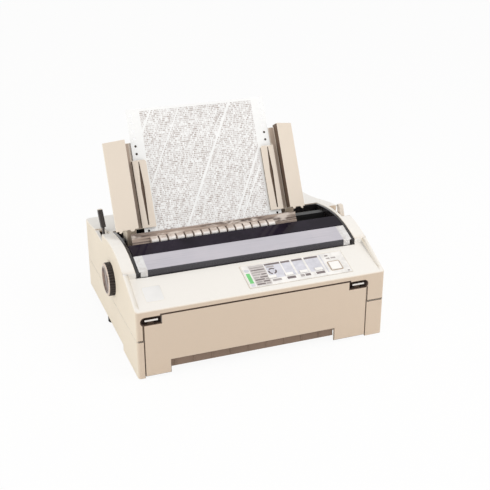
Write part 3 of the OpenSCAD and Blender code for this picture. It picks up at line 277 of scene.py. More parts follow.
def start_material(name, **inputs):
    """A node material: its tree, its Principled BSDF with plain inputs set, and the piece's own coordinates."""
    material = bpy.data.materials.new(name)
    material.use_nodes = True
    tree = material.node_tree
    shader = feed_all(tree, tree.nodes["Principled BSDF"], inputs)
    return material, tree, shader, tree.nodes.new("ShaderNodeTexCoord").outputs["Object"]


def close_material(material, shader, colour, roughness=None, bump=None):
    """Links a material's colour, its roughness and its bump (height, strength, distance), and returns it."""
    tree = material.node_tree
    feed(tree, shader.inputs["Base Color"], colour)
    if roughness is not None:
        feed(tree, shader.inputs["Roughness"], roughness)
    if bump is not None:
        node = add_node(tree, "ShaderNodeBump", Height=bump[0], Strength=bump[1], Distance=bump[2])
        feed(tree, shader.inputs["Normal"], node.outputs["Normal"])
    return material


def shade(colour, factor):
    return tuple(min(1.0, channel * factor) for channel in colour[:3])


# The masks of each shared group: for the tone, for the stains, and for roughness and bump
MASKS = {"mould_grain": ("Tone", "Soil", "Grain"), "brushed_lines": ("Lines", "Blotch", "Lines")}


def stained(name, group, scales, tones, stain, share, roughness, bump, **inputs):
    """A finish between two tones with a share of a stain colour, roughness between two values, and bump."""
    material, tree, shader, spot = start_material(name, **inputs)
    made = group_node(tree, group, spot, **scales)
    tone_mask, stain_mask, grain = (made[label] for label in MASKS[group])
    toned = mix_colour(tree, tone_mask, *tones)
    mixed = mix_colour(tree, stain_mask if share == 1 else times(tree, stain_mask, share), toned, stain)
    return close_material(material, shader, mixed, spread(tree, grain, *roughness), (grain, *bump))


def polished(name, scales, tones, dullest, **inputs):
    """A finish between two tones without bump, polished but for its spots."""
    material, tree, shader, spot = start_material(name, **inputs)
    grain = group_node(tree, "mould_grain", spot, **scales)
    toned = mix_colour(tree, grain["Tone"], *tones)
    return close_material(material, shader, toned, ramp_node(tree, grain["Soil"], 0.0, 1.0, 0.05, dullest))


@finish
def case_plastic():
    """Textured case plastic: paler where it looks up and tan where it looks forward, painted light and painted shade;
    lighter on rounded edges, a painted highlight.
    """
    look = settings("case")
    material, tree, shader, spot = start_material("case_plastic", Specular_IOR_Level=0.35)
    grain = group_node(tree, "mould_grain", spot, Grain_Scale=1100.0)
    up, front, edge = facing_masks(tree)
    side = mix_colour(tree, grain["Tone"], shade(look.cream, 0.975), shade(look.cream, 1.02))
    # Painted shade: tan where a face looks forward; painted light: pale where it looks up
    face = mix_colour(tree, front, side, look.tan)
    top = mix_colour(tree, up, face, look.pale)
    soiled = mix_colour(tree, times(tree, grain["Soil"], 0.10), top, shade(look.tan, 0.7))
    # Painted highlight: rounded edges lighter
    edge_highlight = mix_colour(tree, times(tree, edge, 0.35), soiled, (0.93, 0.87, 0.78))
    return close_material(
        material, shader, edge_highlight, spread(tree, grain["Grain"], 0.46, 0.58), (grain["Grain"], 0.25, 0.00025))


@finish
def moulded(name, colour, roughness=0.6, gloss=0.3, grain_scale=900.0, depth=0.2):
    """Plain moulded plastic in one colour, with grain, slow tone changes and a little soil."""
    return stained(name, "mould_grain", {"Grain_Scale": grain_scale}, (shade(colour, 0.88), shade(colour, 1.08)),
                   shade(colour, 0.6), 0.25, (roughness - 0.06, roughness + 0.06), (depth, 0.0002),
                   Specular_IOR_Level=gloss)


@finish
def sheet_metal(name, colour, roughness, scale):
    """Rolled or ground metal: long fine lines and faint blotches."""
    return stained(name, "brushed_lines", {"Scale": scale}, (shade(colour, 0.82), shade(colour, 1.1)),
                   shade(colour, 0.75), 0.3, (roughness - 0.08, roughness + 0.1), (0.08, 0.0001), Metallic=1.0)


@finish
def circuit_green(name):
    """Green solder mask with a faint pattern of tracks."""
    material, tree, shader, spot = start_material(name, Roughness=0.3, Coat_Weight=0.3)
    lines = group_node(tree, "brushed_lines", spot, Scale=220.0)
    tracks = ramp_node(tree, lines["Lines"], 0.5, 0.56)
    green = mix_colour(tree, tracks, (0.012, 0.11, 0.045), (0.03, 0.2, 0.08))
    blotched = mix_colour(tree, lines["Blotch"], green, (0.02, 0.15, 0.06))
    return close_material(material, shader, blotched, bump=(tracks, 0.3, 0.0001))


@finish
def soft_black(name, roughness):
    """Rubber and belt: nearly black, with a dusty bloom."""
    return stained(name, "mould_grain", {"Grain_Scale": 700.0, "Tone_Scale": 40.0},
                   ((0.018, 0.018, 0.019), (0.045, 0.044, 0.043)), (0.10, 0.095, 0.09), 1,
                   (roughness - 0.1, roughness), (0.2, 0.0002), Specular_IOR_Level=0.3)


@finish
def smoked_gloss():
    """Black facet of the cover: polished, nearly opaque smoked plastic with a violet cast."""
    return polished("smoked_gloss", {"Grain_Scale": 60.0, "Tone_Scale": 14.0},
                    ((0.010, 0.007, 0.013), (0.022, 0.016, 0.028)), 0.16, Specular_IOR_Level=0.08)


@finish
def band_painted_reflection():
    """Band of the cover: lavender grey with fine lengthwise streaks and paler blotches, a painted reflection on the
    smoked plastic.
    """
    colour = settings("cover").band_reflection_colour
    return stained("band_painted_reflection", "brushed_lines", {"Scale": 420.0}, (shade(colour, 0.86), shade(colour, 1.14)),
                   (0.60, 0.56, 0.60), 0.35, (0.26, 0.42), (0.12, 0.0001), Specular_IOR_Level=0.5,
                   Coat_Weight=0.25)


@finish
def clear_plastic():
    """Clear ends of the cover: polished and partly see-through, with a pale colour that paints their glints."""
    return polished("clear_plastic", {"Grain_Scale": 90.0, "Tone_Scale": 120.0},
                    ((0.80, 0.77, 0.75), (0.97, 0.965, 0.96)), 0.2, IOR=1.49, Transmission_Weight=0.25,
                    Coat_Weight=0.6)


def paper_white(tree, spot):
    """The grain of the form's paper and its white with soft fibres."""
    grain = group_node(tree, "mould_grain", spot, Grain_Scale=1500.0, Tone_Scale=18.0)
    return grain["Grain"], mix_colour(tree, grain["Tone"], (0.90, 0.905, 0.90), (0.94, 0.945, 0.94))


@finish
def blank_paper():
    """Back and edges of the form."""
    material, tree, shader, spot = start_material("blank_paper", Roughness=0.75, Specular_IOR_Level=0.2)
    grain, white = paper_white(tree, spot)
    return close_material(material, shader, white, bump=(grain, 0.1, 0.0001))


# The print on the form, in mm: its half width, the bare margin at its top, the slope of the white streaks
# (across per along), and the place of each streak's middle and its half width; places are counted on the
# level of STREAK_LEVEL below the top edge
PRINT_HALF = 98.0
PRINT_TOP_MARGIN = 4.5
STREAK_LEAN = 0.53
STREAK_LEVEL = 111.0
STREAKS = ((1.5, 2.3), (86.0, 1.9), (99.0, 1.6), (-87.5, 1.3), (-136.0, 1.8))
STREAK_SOFTNESS = 0.5
# A printed line's middle and its half height, as shares of the distance between two lines
LINE_MIDDLE, LINE_HALF = 0.45, 0.36
# How fast the noise behind the dashes runs along a line, per metre, and how far it jumps to the next line
DASHES_PER_M = 330.0
LINE_JUMP = 7.3
# How fast the slow changes in the density of the print run across and along, per metre
CLOUDS_ACROSS, CLOUDS_ALONG = 160.0, 45.0


@finish
def printed_paper():
    """Front of the form: lines of short grey dashes, parted by slanting white streaks.

    With x across the form from its middle and s up along it from its lowest edge, ink is there where s is
    inside a line, the noise at (x, number of the line) is high, the distance from every line
    x = STREAK_LEAN * s + place is over the streak's half width, and x and s are inside the margins.
    """
    look = settings("form")
    low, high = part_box("paper_sheet")
    lean = math.atan2(high.y - low.y, high.z - low.z)
    tall = math.hypot(high.y - low.y, high.z - low.z)
    material, tree, shader, spot = start_material("printed_paper", Roughness=0.72, Specular_IOR_Level=0.2)
    grain, white = paper_white(tree, spot)
    place = add_node(tree, "ShaderNodeSeparateXYZ", Vector=spot).outputs
    across = math_node(tree, "SUBTRACT", place["X"], (low.x + high.x) / 2)
    along = math_node(tree, "DIVIDE", math_node(tree, "SUBTRACT", place["Z"], low.z), math.cos(lean))
    slant = math_node(tree, "SUBTRACT", across, times(tree, along, STREAK_LEAN))

    line = math_node(tree, "DIVIDE", along, look.line_pitch)
    in_line = math_node(tree, "COMPARE", math_node(tree, "FRACT", line), LINE_MIDDLE, LINE_HALF)
    jump = times(tree, math_node(tree, "FLOOR", line), LINE_JUMP)
    dashes = ramp_node(tree, flat_noise(tree, times(tree, across, DASHES_PER_M), jump, 3.0, 0.75), 0.40, 0.55)
    clouds = flat_noise(
        tree, times(tree, slant, CLOUDS_ACROSS), times(tree, along, CLOUDS_ALONG), 3.0, 0.6)
    ink = times(tree, times(tree, in_line, dashes), spread(tree, clouds, 0.35, 1.0))

    for middle, half in STREAKS:
        shift = middle * MM - (tall - STREAK_LEVEL * MM) * STREAK_LEAN
        away = math_node(tree, "ABSOLUTE", math_node(tree, "SUBTRACT", slant, shift))
        ink = times(tree, ink, ramp_node(tree, away, (half - STREAK_SOFTNESS) * MM, half * MM))
    for distance, limit in ((math_node(tree, "ABSOLUTE", across), PRINT_HALF * MM),
                            (along, tall - PRINT_TOP_MARGIN * MM)):
        ink = times(tree, ink, math_node(tree, "LESS_THAN", distance, limit))
    return close_material(material, shader, mix_colour(tree, ink, white, look.ink), bump=(grain, 0.1, 0.0001))


@finish
def print_ink(name, colour):
    """Printed colour on the control panel, with a faint screen pattern."""
    material, tree, shader, spot = start_material(name, Roughness=0.4, Specular_IOR_Level=0.4)
    grain = group_node(tree, "mould_grain", spot, Grain_Scale=1400.0, Tone_Scale=80.0)
    return close_material(
        material, shader, mix_colour(tree, grain["Tone"], shade(colour, 0.9), shade(colour, 1.08)))


@finish
def amber_painted_highlights():
    """Smoked amber plastic of the tear bar: glossy, with long light and dark streaks and broad pale patches, painted
    highlights on the dark amber.
    """
    material, tree, shader, spot = start_material(
        "amber_gloss", Specular_IOR_Level=0.5, Coat_Weight=0.3, Coat_Roughness=0.05)
    lines = group_node(tree, "brushed_lines", spot, Scale=330.0)["Lines"]
    highlight_patches = noise_node(tree, stretch_node(tree, spot, (26.0, 60.0, 90.0)), 1.0, 3.0, 0.6)
    # Painted highlights: light streaks and broad pale patches on the dark amber
    streaks = mix_colour(tree, ramp_node(tree, lines, 0.42, 0.58), (0.075, 0.045, 0.034), (0.42, 0.32, 0.26))
    toned = mix_colour(tree, ramp_node(tree, highlight_patches, 0.53, 0.66), streaks, (0.70, 0.61, 0.54))
    return close_material(material, shader, toned, spread(tree, lines, 0.12, 0.3), (lines, 0.1, 0.0001))


@finish
def comb_ivory():
    """Teeth of the exit comb: ivory on top and almost white where they look forward, that white painted light, with
    brown soil.
    """
    material, tree, shader, spot = start_material("comb_ivory", Specular_IOR_Level=0.5, Coat_Weight=0.15)
    grain = group_node(tree, "mould_grain", spot, Grain_Scale=700.0, Tone_Scale=70.0)
    upper = mix_colour(tree, grain["Tone"], (0.50, 0.41, 0.35), (0.78, 0.69, 0.62))
    # Painted light: almost white where a tooth looks forward
    toned = mix_colour(tree, facing_masks(tree)[1], upper, (0.93, 0.90, 0.88))
    soiled = mix_colour(tree, times(tree, grain["Soil"], 0.4), toned, (0.30, 0.21, 0.17))
    return close_material(
        material, shader, soiled, spread(tree, grain["Grain"], 0.22, 0.4), (grain["Grain"], 0.1, 0.0002))


# From which share of its height the knob's face gets its painted highlight, paler towards its top
TOP_HIGHLIGHT_FROM = 0.62


@finish
def knob_face():
    """Glossy brown face of the knob: soft upright streaks and a paler top, both painted highlights."""
    low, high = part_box("platen_knob")
    material, tree, shader, spot = start_material(
        "knob_face", Specular_IOR_Level=0.45, Coat_Weight=0.3, Coat_Roughness=0.12)
    wavy = noise_node(tree, stretch_node(tree, spot, (60.0, 130.0, 45.0)), 1.0, 2.5, 0.5)
    height = add_node(tree, "ShaderNodeSeparateXYZ", Vector=spot).outputs["Z"]
    top_highlight = ramp_node(tree, height, low.z + TOP_HIGHLIGHT_FROM * (high.z - low.z), high.z)
    # Painted highlights: light streaks on the brown, and paler towards the top
    streaks = mix_colour(tree, ramp_node(tree, wavy, 0.46, 0.66), (0.105, 0.063, 0.046), (0.30, 0.205, 0.155))
    pale = mix_colour(tree, ramp_node(tree, wavy, 0.36, 0.56), (0.34, 0.245, 0.19), (0.66, 0.56, 0.49))
    return close_material(
        material, shader, mix_colour(tree, top_highlight, streaks, pale), spread(tree, wavy, 0.22, 0.42),
        (wavy, 0.15, 0.0003))


# Finishes without a function of their own: the maker and its values after the name.
# moulded: colour, roughness, gloss, grain scale, depth; sheet_metal: colour, roughness, scale of the lines
PLAIN_FINISHES = {
    "pocket_shade": (moulded, (0.088, 0.060, 0.050)),
    # Painted shade on the edges beside the seams, on the door's edges and top, and on the latches below their bar
    "seam_brown": (moulded, (0.12, 0.080, 0.058)),
    # Painted shade on the sill in the door's notch
    "sill_brown": (moulded, (0.26, 0.185, 0.14)),
    # Painted shade in the guides' grooves and, lighter, on their floors
    "guide_groove": (moulded, (0.155, 0.105, 0.075)),
    "guide_floor": (moulded, (0.56, 0.45, 0.365)),
    "latch_white": (moulded, (0.86, 0.83, 0.79), 0.42, 0.4, 800.0, 0.1),
    "cover_lip": (moulded, (0.045, 0.042, 0.052), 0.25, 0.5, 900.0, 0.05),
    "liner_gloss": (moulded, (0.022, 0.019, 0.020), 0.20, 0.5, 500.0, 0.08),
    # Painted shade: the knob's rim much darker than its face
    "knob_rim": (moulded, (0.048, 0.038, 0.034), 0.5, 0.3, 900.0, 0.2),
    # Painted highlight: the pale ring at the edge of the knob's face
    "knob_worn_edge": (moulded, (0.66, 0.55, 0.46), 0.35, 0.5, 900.0, 0.15),
    "lever_dark": (moulded, (0.055, 0.047, 0.045), 0.5, 0.4, 900.0, 0.2),
    "lever_cream": (moulded, (0.80, 0.72, 0.63), 0.45, 0.4, 900.0, 0.15),
    "button_white": (moulded, (0.90, 0.88, 0.85), 0.4, 0.4, 900.0, 0.1),
    # Painted shade: the bezel round the power key is dark tan for the shadow round the key
    "key_bezel": (moulded, (0.50, 0.40, 0.31), 0.45, 0.4, 700.0, 0.1),
    "badge_white": (moulded, (0.80, 0.79, 0.775), 0.4, 0.4, 600.0, 0.05),
    "badge_rim": (moulded, (0.80, 0.765, 0.70), 0.45, 0.4, 600.0, 0.05),
    "inked_cloth": (moulded, (0.012, 0.011, 0.016), 0.7, 0.2, 2500.0, 0.5),
    "nylon": (moulded, (0.78, 0.75, 0.66), 0.45, 0.4, 500.0, 0.08),
    "dark_plastic": (moulded, (0.022, 0.021, 0.022), 0.42, 0.45, 900.0, 0.2),
    "motor_enamel": (moulded, (0.035, 0.035, 0.037), 0.38, 0.5, 400.0, 0.1),
    "zinc_plate": (sheet_metal, (0.60, 0.60, 0.57), 0.38, 260.0),
    "ground_steel": (sheet_metal, (0.68, 0.68, 0.69), 0.2, 700.0),
    "brass": (sheet_metal, (0.72, 0.50, 0.20), 0.28, 500.0),
    "platen_rubber": (soft_black, 0.6),
    "soft_rubber": (soft_black, 0.75),
    "belt_rubber": (soft_black, 0.55),
    "circuit_green": (circuit_green,),
}


def plain(name):
    """A finish of the table."""
    maker, *values = PLAIN_FINISHES[name]
    return maker(name, *values)


# ---------------------------------------------------------------- mesh helpers
def grid_faces(rows, columns, close_rows=False, close_columns=False):
    """Quads of a rows x columns grid of points; a closed direction joins its last line to its first."""
    row = np.arange(rows if close_rows else rows - 1)
    column = np.arange(columns if close_columns else columns - 1)
    r, c = np.meshgrid(row, column, indexing="ij")
    r_next = (r + 1) % rows
    c_next = (c + 1) % columns
    quads = np.stack([r * columns + c, r * columns + c_next, r_next * columns + c_next, r_next * columns + c], -1)
    return quads.reshape(-1, 4)


def join_shapes(shapes):
    """One list of points and faces from several (points, faces, finish number) shapes."""
    points, faces, marks, start = [], [], [], 0
    for part_points, part_faces, mark in shapes:
        part_points = np.asarray(part_points).reshape(-1, 3)
        points.append(part_points)
        faces += [[int(corner) + start for corner in face] for face in part_faces]
        marks += [mark] * len(part_faces)
        start += len(part_points)
    return np.concatenate(points), faces, marks


def end_faces(count, around):
    """The first and the last ring of a sweep as one face each."""
    return [list(range(around)), [(count - 1) * around + i for i in reversed(range(around))]]


def closed_sweep(rings, mark=0):
    """A closed shape through rings (n, m, 3): quads between them and one face over each end."""
    faces = grid_faces(*rings.shape[:2], close_columns=True).tolist()
    return rings.reshape(-1, 3), faces + end_faces(*rings.shape[:2]), mark


def ring_sweep(rings):
    """A shape through rings (n, m, 3) that is closed both ways, like a tyre."""
    return rings.reshape(-1, 3), grid_faces(*rings.shape[:2], close_rows=True, close_columns=True).tolist(), 0


def full_turn(steps):
    return np.linspace(0, 2 * math.pi, steps, endpoint=False)


# How fast the masks fall off as a face turns away from straight up or straight forward; they place the painted light
# on tops and the painted shade on fronts
UP_FALL, FRONT_FALL = 1.25, 1.3


def add_facing(piece, edge_faces=()):
    """Stores how far each face corner looks up and forward as it is shaded, and whether it is on a rounded edge: the
    masks for painted light, painted shade and painted highlights.

    Each of the first two is 1 - fall * (1 - c), and not below 0, where c is the cosine between the
    corner's normal and that direction.
    """
    mesh = piece.data
    normals = np.zeros(len(mesh.loops) * 3)
    shaded = piece.evaluated_get(bpy.context.evaluated_depsgraph_get())
    shaded.to_mesh().corner_normals.foreach_get("vector", normals)
    shaded.to_mesh_clear()
    normals = normals.reshape(-1, 3)
    masks = np.ones((len(mesh.loops), 4))
    masks[:, 0] = np.clip(1 - UP_FALL * (1 - normals[:, 2]), 0, 1)
    masks[:, 1] = np.clip(1 - FRONT_FALL * (1 + normals[:, 1]), 0, 1)
    masks[:, 2] = 0
    for number in edge_faces:
        face = mesh.polygons[number]
        masks[face.loop_start:face.loop_start + face.loop_total, 2] = 1
    layer = mesh.color_attributes.new("facing", "FLOAT_COLOR", "CORNER")
    layer.data.foreach_set("color", masks.ravel())


def mark_sharp(mesh, degrees):
    """Faces are smooth, and an edge is sharp where its two faces meet at more than this angle."""
    mesh.polygons.foreach_set("use_smooth", [True] * len(mesh.polygons))
    mesh.set_sharp_from_angle(angle=math.radians(degrees))


def finish_object(name, mesh, materials, body, nodes, edge_faces=()):
    """Links a mesh as a piece that rides on a body and takes the place of CAD nodes."""
    piece = bpy.data.objects.new(name, mesh)
    bpy.context.scene.collection.objects.link(piece)
    for material in materials:
        mesh.materials.append(material)
    piece.modifiers.new("even_normals", "WEIGHTED_NORMAL").keep_sharp = True
    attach(piece, body)
    if nodes:
        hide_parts(*nodes)
    add_facing(piece, edge_faces)


def shape_piece(name, shapes, materials, body, nodes=(), sharp=38.0, outwards=True):
    """A piece from swept shapes, its faces turned outwards."""
    points, faces, marks = join_shapes(shapes)
    mesh = bpy.data.meshes.new(name)
    mesh.from_pydata(points.tolist(), [], faces)
    if outwards:
        form = bmesh.new()
        form.from_mesh(mesh)
        bmesh.ops.recalc_face_normals(form, faces=form.faces)
        form.to_mesh(mesh)
        form.free()
    mesh.polygons.foreach_set("material_index", marks)
    mark_sharp(mesh, sharp)
    finish_object(name, mesh, materials, body, nodes)


# How a CAD node's triangles are joined before its edges are rounded, in metres and degrees
MERGE_DISTANCE, SLIVER, FLAT_ANGLE = 2e-6, 4e-6, 0.4
# From which angle an edge of a CAD node is rounded, and from which it stays sharp afterwards, in degrees
ROUND_ANGLE, SHARP_ANGLE = 30.0, 34.0
ROUND_STEPS = 3


def merged_form(node, cuts):
    """A CAD node's own form with its triangles joined to flat faces, parted again across X at the cuts, in mm."""
    form = bmesh.new()
    form.from_mesh(NODES[node].data)
    bmesh.ops.remove_doubles(form, verts=form.verts, dist=MERGE_DISTANCE)
    bmesh.ops.dissolve_degenerate(form, edges=form.edges, dist=SLIVER)
    bmesh.ops.dissolve_limit(form, angle_limit=math.radians(FLAT_ANGLE), verts=form.verts, edges=form.edges)
    for place in cuts:
        bmesh.ops.bisect_plane(form, geom=form.verts[:] + form.edges[:] + form.faces[:], dist=1e-6,
                               plane_co=Vector(at(place, 0, 0)), plane_no=Vector((1, 0, 0)))
    return form


def rounded_copy(node, name, radius, materials, pick=None, choose=None, least=0.0, cuts=()):
    """The CAD node's own form with its sharp edges rounded, or the picked ones of those longer than least.

    pick gets the edges' middles, in mm of the case, and returns which are rounded; choose gets the
    faces' centres in mm and their normals, and which of them are rounded edges, and returns the number
    of each face's material. cuts are places across the model, in mm, where flat faces are parted.
    """
    form = merged_form(node, cuts)
    edges = [edge for edge in form.edges
             if len(edge.link_faces) == 2 and edge.calc_face_angle() > math.radians(ROUND_ANGLE)
             and edge.calc_length() > least]
    if pick is not None and edges:
        ends = np.array([[tuple(v.co) for v in edge.verts] for edge in edges])
        edges = [edge for edge, keep in zip(edges, pick(case_mm(ends.mean(1)))) if keep]
    rounded = []
    if edges and radius > 0:
        made = bmesh.ops.bevel(
            form, geom=edges, offset=radius, offset_type="OFFSET", segments=ROUND_STEPS, profile=0.5,
            affect="EDGES", clamp_overlap=False, loop_slide=True)
        form.faces.index_update()
        rounded = [face.index for face in made["faces"]]
    mesh = bpy.data.meshes.new(name)
    form.to_mesh(mesh)
    form.free()
    if choose is not None:
        centres = case_mm([tuple(face.center) for face in mesh.polygons])
        normals = np.array([tuple(face.normal) for face in mesh.polygons])
        on_edge = np.zeros(len(mesh.polygons), bool)
        on_edge[rounded] = True
        mesh.polygons.foreach_set("material_index", choose(centres, normals, on_edge))
    mark_sharp(mesh, SHARP_ANGLE)
    finish_object(name, mesh, materials, BODY_OF[node], (node,), rounded)


def dress(node, material):
    """Gives a CAD node that is shown as it is its material."""
    NODES[node].data.materials.clear()
    NODES[node].data.materials.append(material)


# ---------------------------------------------------------------- shapes worked out with numpy
# The deck in front of the cover, in mm: the height of its front edge, its rise, and its depth
DECK_FRONT, DECK_RISE, DECK_DEPTH = 115.5, 22.5, 70.0
DECK_ANGLE = math.atan2(DECK_RISE, DECK_DEPTH)


def deck_height(y):
    """The height of the deck, or of its plane carried on, at y mm behind the front face."""
    return DECK_FRONT + y * math.tan(DECK_ANGLE)


def on_deck(x, y, z):
    """Deck places in frame metres: x across, y up the slope from the front edge, z off its surface, in mm."""
    x, y, z = np.broadcast_arrays(x, y, z)
    return at(x, y * math.cos(DECK_ANGLE) - z * math.sin(DECK_ANGLE),
              DECK_FRONT + y * math.sin(DECK_ANGLE) + z * math.cos(DECK_ANGLE))


def prism_along_x(profile, x_values, marks):
    """A closed outline (y, z) in mm carried along X through the given places.

    Point (i, j) is (x_i, y_j, z_j); marks gives the finish number of each side of the outline.
    """
    profile = np.asarray(profile, float)
    rings = at(np.asarray(x_values, float)[:, None], profile[:, 0], profile[:, 1])
    count, around = rings.shape[:2]
    quads = grid_faces(count, around, close_columns=True).reshape(count - 1, around, 4)
    shapes = [(rings, quads[:, np.equal(marks, mark)].reshape(-1, 4), mark) for mark in sorted(set(marks))]
    return shapes + [(rings, end_faces(count, around), marks[0])]


def turned_along_x(x_values, radii, y, z, steps, mark):
    """A closed turned shape: point (i, t) is (x_i, y + r_i cos t, z + r_i sin t), in case mm."""
    turn = full_turn(steps)
    xs = np.asarray(x_values, float)[:, None]
    rs = np.asarray(radii, float)[:, None]
    return closed_sweep(at(xs, y + rs * np.cos(turn), z + rs * np.sin(turn)), mark)


def round_outline(outline, radius, steps=4):
    """A closed outline whose corners are rounded.

    Each corner is cut back by its radius on both sides, or by 0.45 of the shorter side where that is
    less; a quadratic curve between those two points, with the corner as its middle control point,
    stands for the arc.
    """
    points = np.asarray(outline, float)
    before = np.roll(points, 1, axis=0) - points
    after = np.roll(points, -1, axis=0) - points
    length_before = np.linalg.norm(before, axis=1, keepdims=True)
    length_after = np.linalg.norm(after, axis=1, keepdims=True)
    reach = np.minimum(np.reshape(radius, (-1, 1)), 0.45 * np.minimum(length_before, length_after))
    start = points + before / length_before * reach
    end = points + after / length_after * reach
    t = np.linspace(0, 1, steps + 1)[None, :, None]
    curve = (1 - t) ** 2 * start[:, None] + 2 * t * (1 - t) * points[:, None] + t ** 2 * end[:, None]
    return curve.reshape(-1, 2)


# The cover, in mm as y and z of the case: its front lip, the crease between band and facet, its rear edge,
# its wall, and how far each hinge pin reaches past its end
COVER_LIP = ((72.0, 137.2), (72.0, 146.6), (73.2, 148.2))
CREASE_Y, CREASE_Z = 104.6, 159.4
COVER_REAR = ((136.2, 164.9), (137.8, 164.2), (137.8, 160.2))
COVER_WALL = 2.3
PIN_REACH = 6.5
# A hinge pin from its root in the gusset to its tip, in mm: places along it and its radius there
PIN_PLACES = (0, 0, 5.4, 5.4, 12.3, 12.9, 12.9)
PIN_RADII = (0.01, 3.9, 3.9, 2.0, 2.0, 1.5, 0.01)
# Finish numbers of the cover's pieces, in the order of its materials
BAND, LIP, INSIDE, CLEAR, FACET = range(5)


def cover_shapes(clear):
    """The cover: lip and band, black facet, two clear ends, two gussets and two hinge pins.

    The band runs straight from the lip to the crease and the black facet straight from there to the
    rear edge; the inner line is the outer one set in by the cover's wall.
    """
    low, high = box_mm("printer_cover")
    half = min(-low[0], high[0]) - PIN_REACH
    pivot = joint_mm("printer_cover_hinge")
    crease = ((CREASE_Y, CREASE_Z),)
    band = COVER_LIP + crease + ((CREASE_Y + 0.5, CREASE_Z - COVER_WALL), (74.6, 145.8), (74.4, 137.2))
    shapes = prism_along_x(
        band, np.linspace(-half + clear, half - clear, 25), (LIP, LIP, BAND, BAND, INSIDE, INSIDE, INSIDE))
    for side in (-1, 1):
        ends = sorted((side * half, side * (half - clear)))
        shapes += prism_along_x(band, np.linspace(*ends, 4), (CLEAR,) * len(band))
    brow = ((CREASE_Y + 0.5, CREASE_Z + 0.8), (CREASE_Y + 1.8, CREASE_Z + 1.0), (CREASE_Y + 2.6, CREASE_Z + 0.55))
    inner = ((135.4, 160.2), (135.4, 164.9 - COVER_WALL), (CREASE_Y + 2.2, CREASE_Z + 0.5 - COVER_WALL),
             (CREASE_Y, CREASE_Z - COVER_WALL))
    shapes += prism_along_x(
        crease + brow + COVER_REAR + inner, np.linspace(-half, half, 33), (FACET,) * 4 + (INSIDE,) * 7)
    foot = pivot[2] - 3.8
    gusset = COVER_LIP + crease + ((CREASE_Y + 2.6, CREASE_Z + 0.5), (136.2, 164.8), (137.8, 164.0),
                                   (137.8, foot), (128.0, foot), (74.5, 137.2))
    for side in (-1, 1):
        ends = sorted((side * (half - 0.1), side * (half - 2.4)))
        shapes += prism_along_x(np.array(gusset) - (0.0, 0.15), ends, (CLEAR,) * len(gusset))
        shapes.append(turned_along_x(side * (half + np.array(PIN_PLACES) - PIN_REACH), PIN_RADII,
                                     pivot[1], pivot[2], 32, INSIDE))
    return shapes


# The exit comb, in mm: from tooth to tooth, the gap between two teeth, the rounded end of a tooth and how
# much smaller it is there, and the least tooth that is worth making
TOOTH_PITCH, TOOTH_GAP = 14.6, 2.6
TOOTH_END, END_SHRINK = 1.2, 0.16
LEAST_TOOTH = 3.0


def comb_shapes():
    """Rounded teeth on a base strip.

    A tooth is a section (y, z) carried along X whose points move in towards the section's middle near
    both ends: with u going from 0 at the tip to 1 after 1.2 mm, the scale is
    1 - 0.16 * (1 - sqrt(1 - (1 - u)^2)), and the place is 1.2 * sin(u * 90 degrees) from the tip.
    """
    (x0, y0, z0), (x1, y1, z1) = box_mm("exit_comb")
    cuts = (x0 + x1) / 2 + (np.arange(-8, 8) + 0.5) * TOOTH_PITCH
    cuts = cuts[(cuts - TOOTH_GAP / 2 > x0 - TOOTH_GAP) & (cuts + TOOTH_GAP / 2 < x1 + TOOTH_GAP)]
    starts = np.concatenate([[x0], cuts + TOOTH_GAP / 2])
    stops = np.concatenate([cuts - TOOTH_GAP / 2, [x1]])
    strip = round_outline([(y0 + 0.3, z0), (y0 + 0.3, z0 + 2.0), (y1 - 5.4, z0 + 2.0), (y1 - 5.4, z0)], 0.3, 2)
    shapes = prism_along_x(strip, np.linspace(x0, x1, 9), [1] * len(strip))
    section = round_outline([(y0, z0 + 0.6), (y0, z0 + 6.2), (y0 + 3.4, z1 - 1.2), (y1 - 0.2, z1 - 0.1),
                             (y1 - 4.6, z0 + 1.0)], [1.6, 2.6, 2.4, 0.8, 0.5], 5)
    centre = section.mean(axis=0)
    u = np.linspace(0, 1, 5)
    inwards = TOOTH_END * np.sin(u * math.pi / 2)
    scale = 1 - END_SHRINK * (1 - np.sqrt(np.clip(1 - (1 - u) ** 2, 0, 1)))
    scales = np.concatenate([scale, [1, 1], scale[::-1]])
    outline = centre + (section - centre) * scales[:, None, None]
    for start, stop in zip(starts, stops):
        if stop - start >= LEAST_TOOTH:
            xs = np.concatenate([start + inwards, [start + TOOTH_END + 0.1, stop - TOOTH_END - 0.1],
                                 (stop - inwards)[::-1]])
            shapes.append(closed_sweep(at(xs[:, None], outline[:, :, 0], outline[:, :, 1])))
    return shapes


# The width of the knob's rim, in mm, and where along its outline its face turns into its edge with a painted
# highlight, and that into its rim
RIM_WIDTH = 12.3
EDGE_RING, RIM_RING = 8, 11


